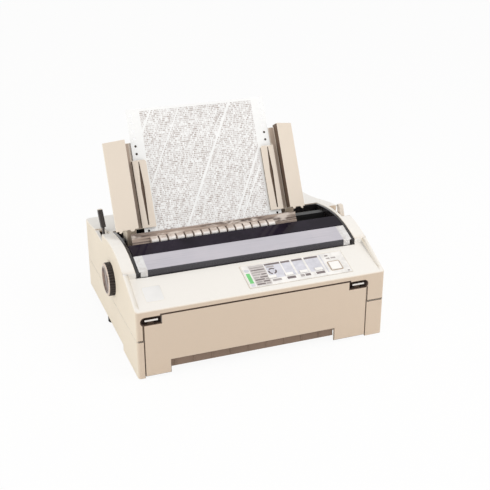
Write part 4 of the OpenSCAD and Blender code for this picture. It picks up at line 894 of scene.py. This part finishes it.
def knob_shape():
    """The ribbed feed knob with its dished face and its hub.

    The outline is turned round the platen's axis; over the rim the radius at angle t is lowered by
    depth * (0.5 - 0.5 cos(n t)) ^ 3, which leaves n broad ribs with narrow grooves between them.
    """
    look = settings("knob")
    low, high = box_mm("platen_knob")
    x0, x1 = low[0], high[0]
    _, y, z = joint_mm("platen_spin")
    rim = (high[2] - low[2]) / 2
    rim_end = x0 + RIM_WIDTH
    profile = np.array([
        (x0 + 1.6, 0.01), (x0 + 1.5, 3.0), (x0 + 1.5, 7.4), (x0 + 2.2, 8.4), (x0 + 2.6, 10.0), (x0 + 2.6, rim - 8.5),
        (x0 + 2.0, rim - 7.0), (x0 + 0.5, rim - 5.4), (x0 + 0.05, rim - 4.4), (x0 + 0.05, rim - 2.6),
        (x0 + 0.5, rim - 1.3), (x0 + 1.4, rim - 0.35), (x0 + 2.4, rim), (x0 + 7.0, rim), (rim_end - 1.0, rim),
        (rim_end - 0.2, rim - 0.5), (rim_end, rim - 1.4), (rim_end, 9.5), (rim_end + 0.4, 7.7), (x1 - 0.5, 7.6),
        (x1, 7.0), (x1, 0.01)])
    turn = full_turn(look.ribs * 10)
    groove = (0.5 - 0.5 * np.cos(look.ribs * turn)) ** 3
    ribbed = np.clip((profile[:, 1] - (rim - 3.2)) / 1.6, 0, 1)[:, None]
    radius = profile[:, 1:2] - look.rib_depth / MM * groove * ribbed
    points, faces, _ = closed_sweep(at(profile[:, 0:1], y + radius * np.cos(turn), z + radius * np.sin(turn)))
    ring_of = np.arange(len(profile) - 1).repeat(len(turn))
    face_side = [face for face, ring in zip(faces, ring_of) if ring < EDGE_RING] + faces[-2:-1]
    edge = [face for face, ring in zip(faces, ring_of) if EDGE_RING <= ring < RIM_RING]
    rim_side = [face for face, ring in zip(faces, ring_of) if ring >= RIM_RING] + faces[-1:]
    return [(points, face_side, 1), (points, edge, 2), (points, rim_side, 0)]


# The dish round the knob, from its inner to its outer edge, in mm: how far it stands off the case and its
# radius there, the last two inside the wall
DISH_SECTION = np.array([
    (0.02, 27.5), (-0.48, 28.6), (-0.88, 30.6), (-0.88, 32.0), (-0.43, 34.4), (0.02, 36.0), (0.6, 36.0), (0.6, 27.5)])


def dish_shape():
    """The shallow dish round the knob: a low rounded ridge turned round the platen's axis, on the case's side."""
    _, y, z = joint_mm("platen_spin")
    turn = full_turn(96)
    off, radius = DISH_SECTION[:, 0:1], DISH_SECTION[:, 1:2]
    return ring_sweep(at(off - HALF_CASE, y + radius * np.cos(turn), z + radius * np.sin(turn)))


# Printed fields of the panel: x from, x to, y from, y to on the deck in mm, and the number of the ink
# The umber (3) and taupe (4) fields at y 18 to 23.5 just below the four button holes are printed footers, made wider
# and darker to paint the shadow under each button
PANEL_PRINT = (
    (-22.0, -19.4, 11.7, 62.3, 7), (-18.0, -11.5, 14.0, 20.0, 5), (-18.0, -11.5, 21.0, 44.0, 1),
    (-18.0, -10.0, 47.0, 53.0, 2), (-9.0, 17.0, 13.5, 60.5, 6), (-7.5, 6.5, 15.5, 18.5, 3),
    (8.0, 15.5, 15.5, 18.5, 4), (-7.5, 3.0, 20.5, 23.5, 4), (4.5, 15.5, 20.5, 23.5, 3),
    (-7.5, 8.5, 25.5, 28.5, 3), (10.0, 15.5, 25.5, 28.5, 4), (-7.5, 1.0, 30.5, 33.5, 4),
    (2.5, 15.5, 30.5, 33.5, 3), (-7.5, 5.0, 37.0, 39.5, 4), (6.5, 15.5, 37.0, 39.5, 3),
    (-7.5, 15.5, 42.5, 45.0, 4), (-7.5, 15.5, 48.0, 50.5, 3), (-7.5, 15.5, 53.5, 56.0, 4),
    (18.5, 45.0, 25.0, 60.0, 2), (18.5, 45.0, 55.8, 60.0, 3), (20.0, 33.0, 50.5, 54.0, 4),
    (20.0, 35.0, 18.5, 23.0, 4), (47.0, 62.5, 25.0, 60.0, 2), (47.0, 62.5, 55.8, 60.0, 3),
    (45.0, 59.5, 18.0, 23.5, 3), (66.0, 84.5, 25.0, 60.0, 2), (66.0, 84.5, 55.8, 60.0, 3),
    (68.0, 75.0, 18.0, 23.5, 4), (76.5, 85.5, 18.0, 23.5, 3), (88.0, 112.0, 25.0, 60.0, 2),
    (88.0, 112.0, 55.8, 60.0, 3), (95.5, 110.5, 18.0, 23.5, 3), (49.0, 60.0, 43.0, 45.5, 5),
    (68.5, 82.0, 43.0, 45.5, 5), (91.0, 109.0, 43.0, 45.5, 5), (115.5, 117.5, 18.0, 60.0, 2),
    (124.5, 131.0, 48.0, 51.0, 4), (133.0, 141.5, 48.0, 51.0, 4), (124.5, 130.0, 54.5, 57.5, 3),
    (149.0, 152.5, 14.0, 17.0, 4),
)
PANEL_INKS = (
    ("panel_film", (0.86, 0.838, 0.81)), ("panel_green", (0.20, 0.62, 0.22)),
    ("panel_lavender", (0.665, 0.66, 0.715)), ("panel_umber", (0.20, 0.165, 0.165)),
    ("panel_taupe", (0.42, 0.38, 0.37)), ("panel_mist", (0.69, 0.685, 0.74)),
    ("panel_stone", (0.62, 0.58, 0.56)), ("panel_edge", (0.78, 0.74, 0.68)))
EDGE_INK = 7
# The panel's lower and upper edge up the deck, its top and underside, and its holes for the four buttons
# and the power key, in mm
PANEL_Y = (11.7, 62.3)
FILM_TOP, FILM_UNDER = 0.3, -0.75
PANEL_HOLES = tuple((x - 7.25, x + 7.25, 25.5, 32.5) for x in (22.0, 51.0, 76.5, 103.0)) + (
    (123.5, 142.5, 21.5, 40.5),)


def panel_shapes():
    """The overlay as a slab of cells, each with its own ink, open where the buttons come through.

    The lines of the grid are all the edges of the printed fields and holes, so no cell is ever cut. A
    wall stands on each side of a cell that has no neighbour there.
    """
    low, high = box_mm("panel_inlay")
    xs, ys = (
        np.unique(np.clip([*ends] + [field[i] for field in PANEL_PRINT + PANEL_HOLES for i in sides], *ends))
        for ends, sides in (((low[0], high[0]), (0, 1)), (PANEL_Y, (2, 3))))
    mid_x, mid_y = np.meshgrid((xs[:-1] + xs[1:]) / 2, (ys[:-1] + ys[1:]) / 2, indexing="ij")
    ink = np.zeros(mid_x.shape, int)
    for x0, x1, y0, y1, number in PANEL_PRINT:
        ink[(mid_x > x0) & (mid_x < x1) & (mid_y > y0) & (mid_y < y1)] = number
    film = np.ones(mid_x.shape, bool)
    for x0, x1, y0, y1 in PANEL_HOLES:
        film &= ~((mid_x > x0) & (mid_x < x1) & (mid_y > y0) & (mid_y < y1))
    grid_x, grid_y = np.meshgrid(xs, ys, indexing="ij")
    points = np.concatenate([on_deck(grid_x, grid_y, z).reshape(-1, 3) for z in (FILM_TOP, FILM_UNDER)])
    below = grid_x.size
    quads = grid_faces(len(xs), len(ys)).reshape(len(xs) - 1, len(ys) - 1, 4)[:, :, ::-1]
    shapes = [(points, quads[film & (ink == number)], number) for number in range(len(PANEL_INKS))]
    shapes.append((points, quads[film][:, ::-1] + below, EDGE_INK))
    padded = np.pad(film, 1)
    number_of = np.arange(below).reshape(len(xs), len(ys))
    walls = []
    for (step_x, step_y), corner_a, corner_b in (
            ((-1, 0), (0, 1), (0, 0)), ((1, 0), (1, 0), (1, 1)),
            ((0, -1), (0, 0), (1, 0)), ((0, 1), (1, 1), (0, 1))):
        beside = padded[1 + step_x:padded.shape[0] - 1 + step_x, 1 + step_y:padded.shape[1] - 1 + step_y]
        i, j = np.nonzero(film & ~beside)
        a = number_of[i + corner_a[0], j + corner_a[1]]
        b = number_of[i + corner_b[0], j + corner_b[1]]
        walls.append(np.stack([a, b, b + below, a + below], axis=1))
    shapes.append((points, np.concatenate(walls), EDGE_INK))
    return shapes


# The dial on the panel: its middle on the deck and its radius in mm, where its arcs start and how long each
# is, in degrees, and the section of an arc across the ring and off the deck, in mm
DIAL_MIDDLE, DIAL_RADIUS = (27.0, 41.5), 6.0
ARC_STARTS, ARC_LENGTH = (44, 164, 284), 92
ARC_SECTION = np.array([(-1.3, 0.28), (-1.0, 0.42), (1.0, 0.42), (1.3, 0.28)])


def dial_shapes():
    """The printed dial: three equal arcs of a ring, as thin flat lenses on the film."""
    radius = DIAL_RADIUS + ARC_SECTION[:, 0]
    arcs = []
    for start in ARC_STARTS:
        turn = np.radians(start + np.linspace(0, ARC_LENGTH, 17))[:, None]
        arcs.append(closed_sweep(on_deck(
            DIAL_MIDDLE[0] + radius * np.cos(turn), DIAL_MIDDLE[1] + radius * np.sin(turn), ARC_SECTION[:, 1])))
    return arcs


def rounded_box(x0, x1, y0, y1, radius):
    """The outline of a rounded rectangle on the deck, in mm, and its middle and half size."""
    outline = round_outline([(x0, y0), (x1, y0), (x1, y1), (x0, y1)], radius, 6)
    return outline, np.array([(x0 + x1) / 2, (y0 + y1) / 2]), np.array([(x1 - x0) / 2, (y1 - y0) / 2])


# The bezel round the power key: its place on the deck and its section, inwards and off the deck, in mm
BEZEL_BOX = (121.9, 144.1, 19.9, 42.1)
BEZEL_SECTION = np.array([(0.0, 0.1), (0.0, 0.55), (0.3, 0.8), (1.2, 0.8), (1.5, 0.55), (1.5, 0.1)])


def bezel_shape():
    """A low section carried round a rounded rectangle on the deck, each of its points moved in across it."""
    outline, middle, half = rounded_box(*BEZEL_BOX, 3.0)
    shrink = 1 - BEZEL_SECTION[:, 0:1] / half
    places = middle + (outline[:, None, :] - middle) * shrink
    return ring_sweep(on_deck(places[:, :, 0], places[:, :, 1], BEZEL_SECTION[:, 1]))


# The badge's rim and the plate in it: place on the deck, corner radius, underside, top and finish number
BADGE_PLATES = (((-187, -157, 18, 52), 3.5, -0.1, 0.30, 1), ((-186.3, -157.7, 18.7, 51.3), 3.0, 0.2, 0.42, 0))
PLATE_BEVEL = (0.12, 0.1)


def badge_shapes():
    """A bare plate with rounded corners and a raised rim, lying on the deck."""
    plates = []
    for box, radius, under, top, mark in BADGE_PLATES:
        outline, middle, _ = rounded_box(*box, radius)
        inset = np.array([0, 0, PLATE_BEVEL[0]])[:, None, None]
        places = outline - np.sign(outline - middle) * inset
        heights = np.array([under, top - PLATE_BEVEL[1], top])[:, None]
        plates.append(closed_sweep(on_deck(places[:, :, 0], places[:, :, 1], heights), mark))
    return plates


# ---------------------------------------------------------------- zones of the case and the guides
INF = math.inf
ANY = (-INF, INF)
SEAM_Z = CASE_LOW.z / MM + 4
NEAR_SEAM = (SEAM_Z - 2.5, SEAM_Z + 2.5)

# Boxes as ranges out from the middle of the case, back from its front and up from the table, in mm
SIDES = ((203, INF), ANY, ANY)
FRONT = (ANY, (-INF, 1), ANY)
SHOULDER_EDGES = ((187.4, 188.6), ANY, (140, INF))
LEFT_SHARP = (
    ((199.5, 203), (0.9, INF), ANY),
    ((186, 203), (66, 74), ANY),
    ((-INF, 204), (-INF, 16), (-INF, 112)),
    ((-INF, 206.5), ANY, (-INF, 100)),
    (ANY, (336, INF), (-INF, 120)))
LEAST_ROUNDED_Z = 68
LOW_SIDES = ((208, INF), ANY, (-INF, 14))
BESIDE_SEAMS = (
    ((-INF, 207.6), (-INF, 1), (2, 110)),
    (ANY, (-INF, 1), NEAR_SEAM),
    ((208, INF), ANY, NEAR_SEAM),
    (ANY, (340.5, INF), NEAR_SEAM))
STEP_FACES = ((187, INF), (66, 71.5), (138, INF))
# The same with the first range across the case, from left to right
LATCH_POCKETS = tuple((ends, (0.4, 11.8), (89.9, 106.1)) for ends in ((-201.3, -168.7), (145.7, 178.3)))
SILL = ((-167, 133), (2.5, 7.5), (15.2, 29))


def from_middle(points):
    """How far out from the middle of the case, back from its front and up from the table places are, in mm."""
    return np.abs(points[:, 0]), points[:, 1], points[:, 2]


def in_boxes(x, y, z, *boxes):
    """Which places lie in one of the boxes; a box is three open ranges."""
    found = np.zeros(len(x), bool)
    for box in boxes:
        found |= np.all([(values > low) & (values < high) for values, (low, high) in zip((x, y, z), box)], axis=0)
    return found


def outer_edges(middles):
    """Edges on the outside of the upper case, away from the pockets, slots and the seam."""
    x, y, z = from_middle(middles)
    on_top = (z > deck_height(y) - 0.6) & (y < 71)
    outside = on_top | in_boxes(x, y, z, SIDES, FRONT, SHOULDER_EDGES)
    return outside & ~in_boxes(x, y, z, *LEFT_SHARP) & (z > LEAST_ROUNDED_Z)


def low_outer_edges(middles):
    """Edges low on the sides of the lower case."""
    return in_boxes(*from_middle(middles), LOW_SIDES)


def seam_edges(middles):
    """Edges beside the seam of the two cases, round the door's opening and round the latches."""
    return in_boxes(*from_middle(middles), *BESIDE_SEAMS)


def upper_zones(centres, normals, rounded):
    """Latch pockets 1 and edges beside the seams 2, both painted shade; the step beside the deck 3, painted light;
    the rest 0.
    """
    on_step = in_boxes(*from_middle(centres), STEP_FACES) & (normals[:, 1] < -0.3)
    in_pocket = in_boxes(*centres.T, *LATCH_POCKETS)
    return np.select([in_pocket, on_step, rounded & seam_edges(centres)], [1, 3, 2])


def lower_zones(centres, normals, rounded):
    """The sill below the door 1 and edges beside the seams 2, both painted shade; the rest 0."""
    return np.select([in_boxes(*centres.T, SILL), rounded & seam_edges(centres)], [1, 2])


def door_zones(centres, normals, rounded):
    """Rounded edges and the top of the door 1, painted shade; the rest 0."""
    return (rounded | (normals[:, 2] > 0.9) & (centres[:, 2] > 60)).astype(int)


FORM_LOW, FORM_HIGH = box_mm("paper_sheet")
FORM_MIDDLE = (FORM_LOW + FORM_HIGH) / 2
FORM_HALF = (FORM_HIGH[0] - FORM_LOW[0]) / 2
FORM_LEAN = math.atan2(FORM_HIGH[1] - FORM_LOW[1], FORM_HIGH[2] - FORM_LOW[2])

# Boxes of the guides as ranges of the way out past the form's edge, behind its plane, in mm, and of how far
# a face looks sideways
# Faces in the walls, under, lip side and recess boxes take painted shade, those in the floor box a lighter painted
# shade
GUIDE_WALLS = ((3.0, 12.6), ANY, (0.9, INF))
GUIDE_UNDER = ((-INF, -0.2), (2.6, 3.4), ANY)
GUIDE_LIP_SIDES = ((-20.6, -19.4), (-INF, 0), (0.9, INF))
GUIDE_RECESS = ((-15, -2), (-4.7, -2.0), ANY)
GUIDE_FLOOR = ((3.2, 12.1), (2.6, 3.4), ANY)
# Where a guide's flat faces are parted, in mm past the form's edge
GUIDE_CUTS = (-0.3, 3.4)


def past_form(points):
    """How far out past the form's nearer edge a place is, in mm."""
    return np.abs(points[:, 0] - FORM_MIDDLE[0]) - FORM_HALF


def guide_edges(middles):
    """Every edge of a guide but those of the tapered grooves in its lips."""
    past = past_form(middles)
    return (past < -16) | (past > -1.5) | (np.abs(past + 20) < 2.5)


def guide_zones(centres, normals, rounded):
    """Painted shade on a guide's grooves, shaded walls, lip sides and recesses 1, a lighter painted shade on its
    floor beside the form 2, the rest 0.

    A place y back and z up from the form's middle is y cos(lean) - z sin(lean) behind its plane.
    """
    offset = centres - FORM_MIDDLE
    behind = offset[:, 1] * math.cos(FORM_LEAN) - offset[:, 2] * math.sin(FORM_LEAN)
    place = past_form(centres), behind, np.abs(normals[:, 0])
    walls = in_boxes(*place, GUIDE_WALLS, GUIDE_UNDER, GUIDE_LIP_SIDES) & ~rounded
    floor = in_boxes(*place, GUIDE_FLOOR) & ~rounded
    return np.select([walls | in_boxes(*place, GUIDE_RECESS), floor], [1, 2])


# ---------------------------------------------------------------- operators: pieces
class PRINTER_OT_case(Operator):
    """Upper and lower case with softened edges"""
    bl_idname = "printer.case"
    bl_label = "Case"

    def execute(self, context):
        look = settings("case")
        cream, seam = case_plastic(), plain("seam_brown")
        # Painted light: the step beside the deck looks forward but takes the pale colour of the lit tops
        step = moulded("step_cream", shade(look.pale, 0.97), 0.52, 0.35, 1100.0, 0.25)
        rounded_copy("upper_case", "upper_shell", look.edge_radius, [cream, plain("pocket_shade"), seam, step],
                     lambda middles: outer_edges(middles) | seam_edges(middles), upper_zones, least=0.0004)
        rounded_copy("lower_case", "lower_shell", look.seam_radius, [cream, plain("sill_brown"), seam],
                     lambda middles: low_outer_edges(middles) | seam_edges(middles), lower_zones)
        return {"FINISHED"}


class PRINTER_OT_door(Operator):
    """Front door and its two latches"""
    bl_idname = "printer.door"
    bl_label = "Front door"

    def execute(self, context):
        seam = plain("seam_brown")
        rounded_copy("front_door", "door_panel", settings("case").seam_radius, [case_plastic(), seam],
                     lambda middles: middles[:, 1] < 0.4, door_zones)
        for side in ("left", "right"):
            top = box_mm("door_latch_" + side)[1][2]
            # Painted shade: below its bar and at its back the latch takes the seams' dark colour; only the bar stays
            # white
            rounded_copy("door_latch_" + side, "latch_tab_" + side, 0.0006, [plain("latch_white"), seam],
                         choose=lambda centres, normals, rounded: (
                             (centres[:, 2] < top - 3.4) | (centres[:, 1] > 4.8)).astype(int))
        return {"FINISHED"}


class PRINTER_OT_cover(Operator):
    """Smoked cover with its band of painted reflection, black facet and clear ends"""
    bl_idname = "printer.cover"
    bl_label = "Printer cover"

    def execute(self, context):
        shape_piece("smoked_cover", cover_shapes(settings("cover").clear_end / MM),
                    [band_painted_reflection(), plain("cover_lip"), plain("dark_plastic"), clear_plastic(), smoked_gloss()],
                    "printer_cover", ("printer_cover",), sharp=25.0)
        rounded_copy("opening_liner", "liner_frame", 0.0005, [plain("liner_gloss")])
        return {"FINISHED"}


class PRINTER_OT_guides(Operator):
    """Edge guides, their rail, the form and its print"""
    bl_idname = "printer.guides"
    bl_label = "Guides and form"

    def execute(self, context):
        finishes = [case_plastic(), plain("guide_groove"), plain("guide_floor")]
        cuts = [FORM_MIDDLE[0] + side * (FORM_HALF + past) for side in (-1, 1) for past in GUIDE_CUTS]
        for side in ("left", "right"):
            rounded_copy("edge_guide_" + side, "guide_" + side, settings("case").seam_radius, finishes,
                         guide_edges, guide_zones, least=0.0003, cuts=cuts)
        dress("paper_guide", plain("dark_plastic"))
        rounded_copy("paper_sheet", "form", 0.0, [blank_paper(), printed_paper()],
                     choose=lambda centres, normals, rounded: (normals[:, 1] < -0.8).astype(int))
        return {"FINISHED"}


class PRINTER_OT_exit(Operator):
    """Toothed exit comb and glossy tear-off bar"""
    bl_idname = "printer.exit"
    bl_label = "Paper exit"

    def execute(self, context):
        shape_piece("toothed_comb", comb_shapes(), [comb_ivory(), plain("dark_plastic")], "root",
                    ("exit_comb",))
        rounded_copy("tear_bar", "tear_edge", 0.0004, [amber_painted_highlights()])
        return {"FINISHED"}


class PRINTER_OT_feed_knob(Operator):
    """Ribbed knob on the end of the platen's shaft"""
    bl_idname = "printer.feed_knob"
    bl_label = "Feed knob"

    def execute(self, context):
        shape_piece("feed_knob", knob_shape(), [plain("knob_rim"), knob_face(), plain("knob_worn_edge")],
                    "platen", ("platen_knob",), sharp=40.0)
        shape_piece("knob_dish", [dish_shape()], [case_plastic()], "root")
        return {"FINISHED"}


class PRINTER_OT_levers(Operator):
    """Release lever and head gap lever with pale grips"""
    bl_idname = "printer.levers"
    bl_label = "Levers"

    def execute(self, context):
        finishes = [plain("lever_dark"), plain("lever_cream")]
        for node, name in (("release_lever", "release_handle"), ("gap_lever", "gap_handle")):
            top = box_mm(node)[1][2]
            rounded_copy(node, name, 0.0008, finishes, lambda middles: middles[:, 2] > top - 30,
                         lambda centres, normals, rounded: (centres[:, 2] > top - 10).astype(int))
        return {"FINISHED"}


class PRINTER_OT_panel(Operator):
    """Printed overlay, buttons, power key and the bare badge plate"""
    bl_idname = "printer.panel"
    bl_label = "Control panel"

    def execute(self, context):
        inks = [print_ink(name, colour) for name, colour in PANEL_INKS]
        shape_piece("panel_overlay", panel_shapes(), inks, "root", ("panel_inlay",), sharp=20.0,
                    outwards=False)
        shape_piece("panel_dial", dial_shapes(), [print_ink("panel_umber", (0.13, 0.10, 0.10))], "root")
        for node in ("font_button", "pitch_button", "line_feed_button", "pause_button", "power_key"):
            rounded_copy(node, node + "_cap", 0.0006, [plain("button_white")],
                         lambda middles: middles[:, 2] > deck_height(middles[:, 1]) + 0.5)
        shape_piece("key_bezel", [bezel_shape()], [plain("key_bezel")], "root")
        shape_piece("bare_badge", badge_shapes(), [plain("badge_white"), plain("badge_rim")], "root")
        return {"FINISHED"}


# The finish of each CAD node that is shown as it is
WORKS = {
    "zinc_plate": ("base_plate", "side_frame_left", "side_frame_right", "power_unit"),
    "ground_steel": ("platen_shaft", "carriage_rod", "tractor_shaft", "tractor_rod", "case_screws",
                     "interface_connector"),
    "brass": ("feed_pinion", "drive_pulley", "idler_pulley"),
    "motor_enamel": ("feed_motor", "carriage_motor", "print_head"),
    "nylon": ("platen_gear", "feed_idler_gear", "tractor_idler_gear", "tractor_gear", "platen_bushings",
              "tractor_lid_left", "tractor_lid_right"),
    "dark_plastic": ("paper_chute", "tractor_left", "tractor_right", "carriage", "ribbon_cartridge",
                     "ribbon_knob", "mains_inlet"),
    "circuit_green": ("main_board", "panel_board"),
    "inked_cloth": ("ribbon",),
    "platen_rubber": ("platen",),
    "soft_rubber": ("front_pinch_roller", "rear_pinch_roller", "rubber_feet"),
    "belt_rubber": ("drive_belt",),
}


class PRINTER_OT_works(Operator):
    """Metal, rubber, gears and boards inside the case"""
    bl_idname = "printer.works"
    bl_label = "Works"

    def execute(self, context):
        for name, nodes in WORKS.items():
            for node in nodes:
                dress(node, plain(name))
        return {"FINISHED"}


# ---------------------------------------------------------------- stage
# The camera: its angles in degrees, the shift of the case's origin in the frame and the lens in pixels of a
# frame of 490, and its distance in mm
CAMERA_TURN = -20.789
CAMERA_RISE = 23.595
CAMERA_ROLL = -0.0676
CAMERA_SHIFT = (20.355, 110.774)
CAMERA_DISTANCE = 1510.966
FOCAL_PIXELS = 941.80
FRAME_PIXELS = 490.0
SENSOR_WIDTH = 36.0

FLOOR_REACH, FLOOR_WHITE = 6, (0.90, 0.89, 0.88)
# How much of the floor's own white the camera sees, and the room's strength as light and what it has more
# where it is seen
FLOOR_GLOW = 0.92
ROOM_LIGHT, ROOM_SEEN = 0.73, 0.27
# Lamps: name, place in frame metres, power in watts, size in metres and colour
LAMPS = (
    ("key", (0.6, -0.5, 1.75), 8.4, 1.2, (1.0, 0.985, 0.965)),
    ("side", (-1.7, -0.3, 0.6), 6.6, 1.2, (1.0, 0.97, 0.94)),
    ("fill", (1.5, -1.3, 0.7), 4.6, 1.4, (1.0, 0.945, 0.89)))
LAMP_AIM = Vector((0.0, 0.0, 0.12))


def add_object(name, data):
    """A new object in the scene that isn't a piece."""
    thing = bpy.data.objects.new(name, data)
    bpy.context.scene.collection.objects.link(thing)
    return thing


def view_axes(turn, rise, roll):
    """Rows right, up and back of a camera that looks at the origin from the given angles, in degrees."""
    a, e, r = (math.radians(angle) for angle in (turn, rise, roll))
    back = np.array([math.sin(a) * math.cos(e), -math.cos(a) * math.cos(e), math.sin(e)])
    right = np.cross((0.0, 0.0, 1.0), back)
    right /= np.linalg.norm(right)
    up = np.cross(back, right)
    return np.stack([math.cos(r) * right + math.sin(r) * up, -math.sin(r) * right + math.cos(r) * up, back])


def make_camera():
    """The camera stands so far back along its axis that the case's origin is seen at its shift in the frame."""
    rows = view_axes(CAMERA_TURN, CAMERA_RISE, CAMERA_ROLL)
    scale = CAMERA_DISTANCE / FOCAL_PIXELS
    place = rows.T @ np.array([-CAMERA_SHIFT[0] * scale, CAMERA_SHIFT[1] * scale, CAMERA_DISTANCE])
    data = bpy.data.cameras.new("view")
    data.sensor_width = SENSOR_WIDTH
    data.lens = FOCAL_PIXELS / FRAME_PIXELS * SENSOR_WIDTH
    data.clip_start = 0.05
    camera = add_object("view", data)
    matrix = np.eye(4)
    matrix[:3, :3] = rows.T
    matrix[:3, 3] = at(*place)
    camera.matrix_world = Matrix(matrix.tolist())
    bpy.context.scene.camera = camera


def seen_rays(tree):
    """1 for rays of the camera and for those seen in gloss or through glass, and 0 for the rest."""
    rays = tree.nodes.new("ShaderNodeLightPath").outputs
    seen = math_node(tree, "MAXIMUM", rays["Is Camera Ray"], rays["Is Glossy Ray"])
    return math_node(tree, "MAXIMUM", seen, rays["Is Transmission Ray"])


def make_floor():
    """A white floor, matt in the light and nearly plain white where it is seen."""
    mesh = bpy.data.meshes.new("floor")
    corners = ((-1, -1), (1, -1), (1, 1), (-1, 1))
    mesh.from_pydata([(x * FLOOR_REACH, y * FLOOR_REACH, 0) for x, y in corners], [], [(0, 1, 2, 3)])
    add_object("floor", mesh)
    material = bpy.data.materials.new("floor_white")
    material.use_nodes = True
    tree = material.node_tree
    tree.nodes.clear()
    matt = add_node(tree, "ShaderNodeBsdfDiffuse", Color=FLOOR_WHITE)
    mix = add_node(tree, "ShaderNodeMixShader", Fac=times(tree, seen_rays(tree), FLOOR_GLOW))
    feed(tree, mix.inputs[1], matt.outputs["BSDF"])
    feed(tree, mix.inputs[2], tree.nodes.new("ShaderNodeEmission").outputs["Emission"])
    add_node(tree, "ShaderNodeOutputMaterial", Surface=mix.outputs["Shader"])
    mesh.materials.append(material)


def make_room():
    """A white world, stronger where it is seen: its strength is light + seen * more."""
    world = bpy.data.worlds.new("soft_room")
    bpy.context.scene.world = world
    world.use_nodes = True
    tree = world.node_tree
    back = tree.nodes["Background"].inputs
    feed(tree, back["Color"], (1.0, 1.0, 1.0))
    feed(tree, back["Strength"], math_node(tree, "ADD", times(tree, seen_rays(tree), ROOM_SEEN), ROOM_LIGHT))


def make_lamps():
    """Round soft lamps, all turned to the same place."""
    for name, spot, power, size, colour in LAMPS:
        data = bpy.data.lights.new(name, "AREA")
        data.shape = "DISK"
        data.size = size
        data.energy = power
        data.color = colour
        lamp = add_object(name, data)
        lamp.location = spot
        lamp.rotation_euler = (LAMP_AIM - Vector(spot)).to_track_quat("-Z", "Y").to_euler()


class PRINTER_OT_stage(Operator):
    """Floor, soft lamps, pale world and the camera"""
    bl_idname = "printer.stage"
    bl_label = "Stage"

    def execute(self, context):
        make_camera()
        make_floor()
        make_room()
        make_lamps()
        context.scene.view_settings.view_transform = "Standard"
        return {"FINISHED"}


# ---------------------------------------------------------------- panel and registration
PIECE_OPERATORS = (
    PRINTER_OT_case, PRINTER_OT_door, PRINTER_OT_cover, PRINTER_OT_guides, PRINTER_OT_exit,
    PRINTER_OT_feed_knob, PRINTER_OT_levers, PRINTER_OT_panel, PRINTER_OT_works, PRINTER_OT_stage)
SETTING_GROUPS = (("case", CaseSettings), ("cover", CoverSettings), ("form", FormSettings), ("knob", KnobSettings))


class PRINTER_PT_sidebar(Panel):
    """The pieces of the printer and their sizes and colours"""
    bl_label = "Continuous Form Printer"
    bl_idname = "PRINTER_PT_sidebar"
    bl_space_type = "VIEW_3D"
    bl_region_type = "UI"
    bl_category = "Printer"

    def draw(self, context):
        for maker in PIECE_OPERATORS:
            self.layout.operator(maker.bl_idname)
        for group, kind in SETTING_GROUPS:
            box = self.layout.box()
            box.label(text=kind.__doc__)
            for label in kind.__annotations__:
                box.prop(settings(group), label)


def register():
    for group, kind in SETTING_GROUPS:
        bpy.utils.register_class(kind)
        setattr(bpy.types.Scene, "printer_" + group, PointerProperty(type=kind))
    for kind in PIECE_OPERATORS + (PRINTER_PT_sidebar,):
        bpy.utils.register_class(kind)


def unregister():
    for kind in reversed(PIECE_OPERATORS + (PRINTER_PT_sidebar,)):
        bpy.utils.unregister_class(kind)
    for group, kind in SETTING_GROUPS:
        delattr(bpy.types.Scene, "printer_" + group)
        bpy.utils.unregister_class(kind)


def main():
    register()
    for maker in PIECE_OPERATORS:
        call = getattr(bpy.ops.printer, maker.bl_idname.split(".")[1])
        if call() != {"FINISHED"}:
            raise RuntimeError(f"{maker.bl_label} wasn't made")


if __name__ == "__main__":
    main()
